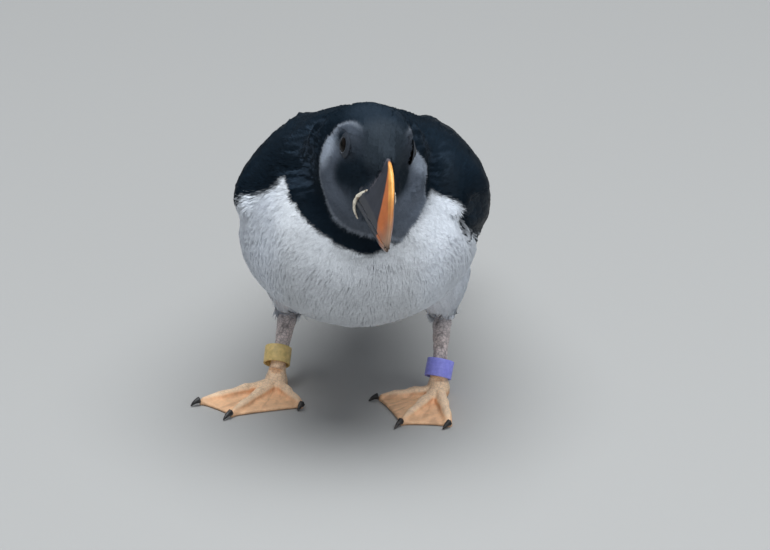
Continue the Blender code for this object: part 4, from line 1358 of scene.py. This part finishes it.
leg_finish = leg_material()
for word in ("left", "right"):
    points, faces = fused("leg_" + word, ("tarsus_" + word, "foot_" + word), LEG_GRAIN, LEG_GROWTH)
    edges = edges_of(faces)
    points = smoothed(points, edges, 3)
    facing = normals_of(points, faces)
    height = points[:, 2]
    ankle = points[(height > 8) & (height < 11)].mean(axis=0)
    around = np.arctan2(points[:, 0] - ankle[0], points[:, 1] - ankle[1])
    away = np.linalg.norm(points[:, :2] - ankle[:2], axis=1)
    ray = np.stack([np.cos(around) * 9, np.sin(around) * 9, away * 0.05], 1)
    wrinkle = ripple(ray, 0.55, 3) * 0.6 + ripple(ray, 0.25, 8) * 0.4
    on_web = ramp(height, 3.4, 2.2)
    cross = ripple(points * (0.5, 0.5, 1.0), 1.3, 15)
    points = points - facing * (FOLD * ramp(wrinkle, 0.6, 0.4) * on_web * ramp(height, 0.4, 1.2))[:, None]
    points = points - facing * (FOLD * ramp(cross, 0.55, 0.4) * ramp(height, 11, 14))[:, None]
    points[:, 2] = np.maximum(points[:, 2], SOLE)
    colour = mixed(np.broadcast_to(TOE, points.shape), WEB, on_web)
    # Painted shade: the creases in the webs, and the crease where the toes meet the shank, are painted
    # darker.
    colour = mixed(colour, CREASE_SHADE, ramp(wrinkle, 0.46, 0.3) * on_web * 0.35)
    colour = mixed(colour, CREASE_SHADE, np.exp(-(((height - 8.6 - cross) / 0.5) ** 2)) * 0.5)
    colour = mixed(colour, SHANK, ramp(height, 10, 15))
    # Painted shade: the top of the shank is painted darker and greyer, under the belly.
    colour = mixed(colour, SHANK_TOP_SHADE, ramp(height, 18, 28))
    colour = colour * (0.85 + 0.3 * ripple(points, 2.2, 5))[:, None]
    # Painted shade: thin dark lines on the shank stand for the shade in fine skin folds.
    fold_shade = ripple(points * (1.0, 1.0, 0.55), 2.4, 17) - 0.5
    fold_shade = np.exp(-((fold_shade / 0.045) ** 2)) * ramp(height, 12, 15)
    colour = colour * (1 - 0.5 * fold_shade)[:, None]
    leg = add_piece("leg_" + word, points, faces, leg_finish, colour, "tint")
    share = np.maximum(ramp(height, 2.6, 4.0) * 0.55, ramp(height, 10, 14))
    add_colours(leg.data, "scaly", np.repeat(share[:, None], 3, axis=1))
    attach(leg, "root")
    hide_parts("tarsus_" + word, "foot_" + word)

# ----------------------------------------
# The gape rosettes: a fold of soft wrinkled cream-yellow skin at each corner of the mouth, where the
# halves of the bill meet.
# ----------------------------------------
ROSETTE_LINE = ((5.3, -16.4, -8.4), (6.0, -14.6, -10.6), (7.0, -12.9, -13.6), (7.2, -12.0, -17.0))
ROSETTE_LINE += ((6.2, -11.7, -20.4), (4.2, -11.3, -23.6))
ROSETTE_THICK = (0.3, 0.7, 0.95, 0.85, 0.7, 0.3)
ROSETTE = np.array((0.86, 0.78, 0.64))
ROSETTE_BROWN = np.array((0.16, 0.09, 0.05))
ROSETTE_RINGS, ROSETTE_SIDES = 44, 20
rosette_finish = surface_finish("gape_skin", 0.45, 900, 0.5)


def rosette_colour(points):
    spot = ripple(points, 1.6, 4)
    colour = mixed(np.broadcast_to(ROSETTE, points.shape), ROSETTE_BROWN, ramp(spot, 0.62, 0.8) * 0.8)
    return colour * (0.8 + 0.4 * ripple(points, 0.7, 6))[:, None]


def rosette_fold(name, centres, across, beside):
    """A closed tube: rings of points set square to a line, bridged, with its ends filled."""
    bm = bmesh.new()
    loops = []
    angles = np.arange(ROSETTE_SIDES) * math.tau / ROSETTE_SIDES
    for middle, first, second in zip(centres, across, beside):
        ring = middle + np.outer(np.cos(angles), first) + np.outer(np.sin(angles), second)
        verts = [bm.verts.new(Vector(ORIGIN + point * MM)) for point in ring]
        loops.append([bm.edges.new((verts[k - 1], verts[k])) for k in range(ROSETTE_SIDES)])
    for first, second in zip(loops, loops[1:]):
        bmesh.ops.bridge_loops(bm, edges=first + second)
    bmesh.ops.holes_fill(bm, edges=bm.edges, sides=ROSETTE_SIDES)
    bmesh.ops.recalc_face_normals(bm, faces=bm.faces)
    mesh = smooth_mesh(bm, name, rosette_finish)
    add_colours(mesh, "tint", rosette_colour(points_of(mesh)))
    obj = add_object(name, mesh)
    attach(obj, "root")
    return obj


def smooth_line(knots, count):
    """A smooth line through a few places, with evenly shared steps between them."""
    knots = np.array(knots, float)
    stations = np.linspace(0, len(knots) - 1, count)
    ahead = np.gradient(knots, axis=0)
    low = np.minimum(stations.astype(int), len(knots) - 2)
    t = (stations - low)[:, None]
    start, end, leave, arrive = knots[low], knots[low + 1], ahead[low], ahead[low + 1]
    return (
        (2 * t**3 - 3 * t**2 + 1) * start
        + (t**3 - 2 * t**2 + t) * leave
        + (-2 * t**3 + 3 * t**2) * end
        + (t**3 - t**2) * arrive
    )


for side, word in ((1, "left"), (-1, "right")):
    line = smooth_line(ROSETTE_LINE, ROSETTE_RINGS) * (side, 1, 1)
    thick = np.interp(np.linspace(0, 5, ROSETTE_RINGS), np.arange(6), ROSETTE_THICK)
    order = np.arange(ROSETTE_RINGS)
    thick = thick * (1 + 0.05 * np.sin(order * 1.9) + 0.06 * np.sin(order * 0.83))
    ahead = unit(np.gradient(line, axis=0))
    outwards = unit(np.cross(ahead, np.array((0, -0.3, 0.0)) + (0.0, 1.0, 0.2)))
    beside = np.cross(ahead, outwards)
    wide, deep = (outwards * thick[:, None] * 0.7) @ HEAD_AXES.T, (beside * thick[:, None]) @ HEAD_AXES.T
    gape = rosette_fold("gape_" + word, from_head(line), wide, deep)

# ----------------------------------------
# The claws: curved black-brown horn, grown over the last bone of each toe, smooth, with paler
# worn patches.
# ----------------------------------------
CLAW = np.array((0.022, 0.020, 0.020))
CLAW_WORN = np.array((0.09, 0.075, 0.065))
CLAW_GRAIN = 0.22
claw_finish = surface_finish("claw_horn", 0.35, 1400, 0.25)
for word in ("left", "right"):
    for toe in ("inner", "middle", "outer"):
        node = "claw_" + word + "_" + toe
        points, faces = fused(node + "_horn", (node,), CLAW_GRAIN, 0.0)
        points = smoothed(points, edges_of(faces), 6)
        points[:, 2] = np.maximum(points[:, 2], SOLE)
        worn = ripple(points, 1.1, 9)
        tint = mixed(np.broadcast_to(CLAW, points.shape), CLAW_WORN, ramp(worn, 0.55, 0.9) * 0.7)
        claw = add_piece(node + "_horn", points, faces, claw_finish, tint, "tint")
        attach(claw, "root")
        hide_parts(node)

# ----------------------------------------
# The leg rings: bands of coloured plastic closed round each shank, plain, with rounded rims and fine
# scuffs. They hang loose on the shank.
# ----------------------------------------
RIM_ROUNDING = 0.22
RING_COLOURS = {"right": (0.76, 0.56, 0.22), "left": (0.30, 0.31, 0.95)}


def ring_measures(node):
    """A ring's middle, axis, height, and inner and outer radius, from its CAD node."""
    points = np.unique(points_of(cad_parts[node].data).round(3), axis=0)
    middle = points.mean(axis=0)
    shares, axes = np.linalg.eigh(np.cov((points - middle).T))
    odd = np.argmax(np.abs(shares - np.median(shares)))
    axis = axes[:, odd] * np.sign(axes[2, odd])
    along = (points - middle) @ axis
    out = np.linalg.norm(points - middle - np.outer(along, axis), axis=1)
    return middle, axis, np.ptp(along), out.min(), out.max()


def ring_finish(name, colour):
    """Tough matt plastic: even colour with fine scuffs, paler where it is rubbed."""
    finish, tree, shader = new_finish(name)
    scuffs = grain_in(tree, 700, 4)
    tones = tree.nodes.new("ShaderNodeValToRGB")
    dark, pale = tones.color_ramp.elements
    dark.position, dark.color = 0.35, (*[0.86 * part for part in colour], 1)
    pale.position, pale.color = 0.75, (*[min(1.18 * part + 0.02, 1) for part in colour], 1)
    feed(tree, tones.inputs["Fac"], scuffs)
    feed(tree, shader.inputs["Base Color"], tones.outputs["Color"])
    feed(tree, shader.inputs["Roughness"], between(tree, scuffs, 0.35, 0.6))
    add_relief(tree, shader, scuffs, 0.15, 0.0001)
    return finish


for word, colour_name in (("right", "yellow"), ("left", "purple")):
    middle, axis, tall, inner, outer = ring_measures("leg_ring_" + word)
    section = [(inner, -tall / 2), (outer, -tall / 2), (outer, tall / 2), (inner, tall / 2)]
    band = spun(section, closed=True, steps=72)
    bmesh.ops.recalc_face_normals(band, faces=band.faces)
    rims = [edge for edge in band.edges if edge.calc_face_angle(0) > 0.8]
    rounding = {"offset": RIM_ROUNDING * MM, "segments": 3, "profile": 0.5}
    bmesh.ops.bevel(band, geom=rims, affect="EDGES", material=-1, **rounding)
    turn = Vector(axis).to_track_quat("Z", "Y").to_matrix().to_4x4()
    bmesh.ops.transform(band, matrix=Matrix.Translation(on_bird(middle)) @ turn, verts=band.verts)
    plastic = ring_finish(colour_name + "_plastic", RING_COLOURS[word])
    ring = add_object("leg_band_" + word, smooth_mesh(band, "leg_band_" + word, plastic))
    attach(ring, "root")
    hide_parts("leg_ring_" + word)
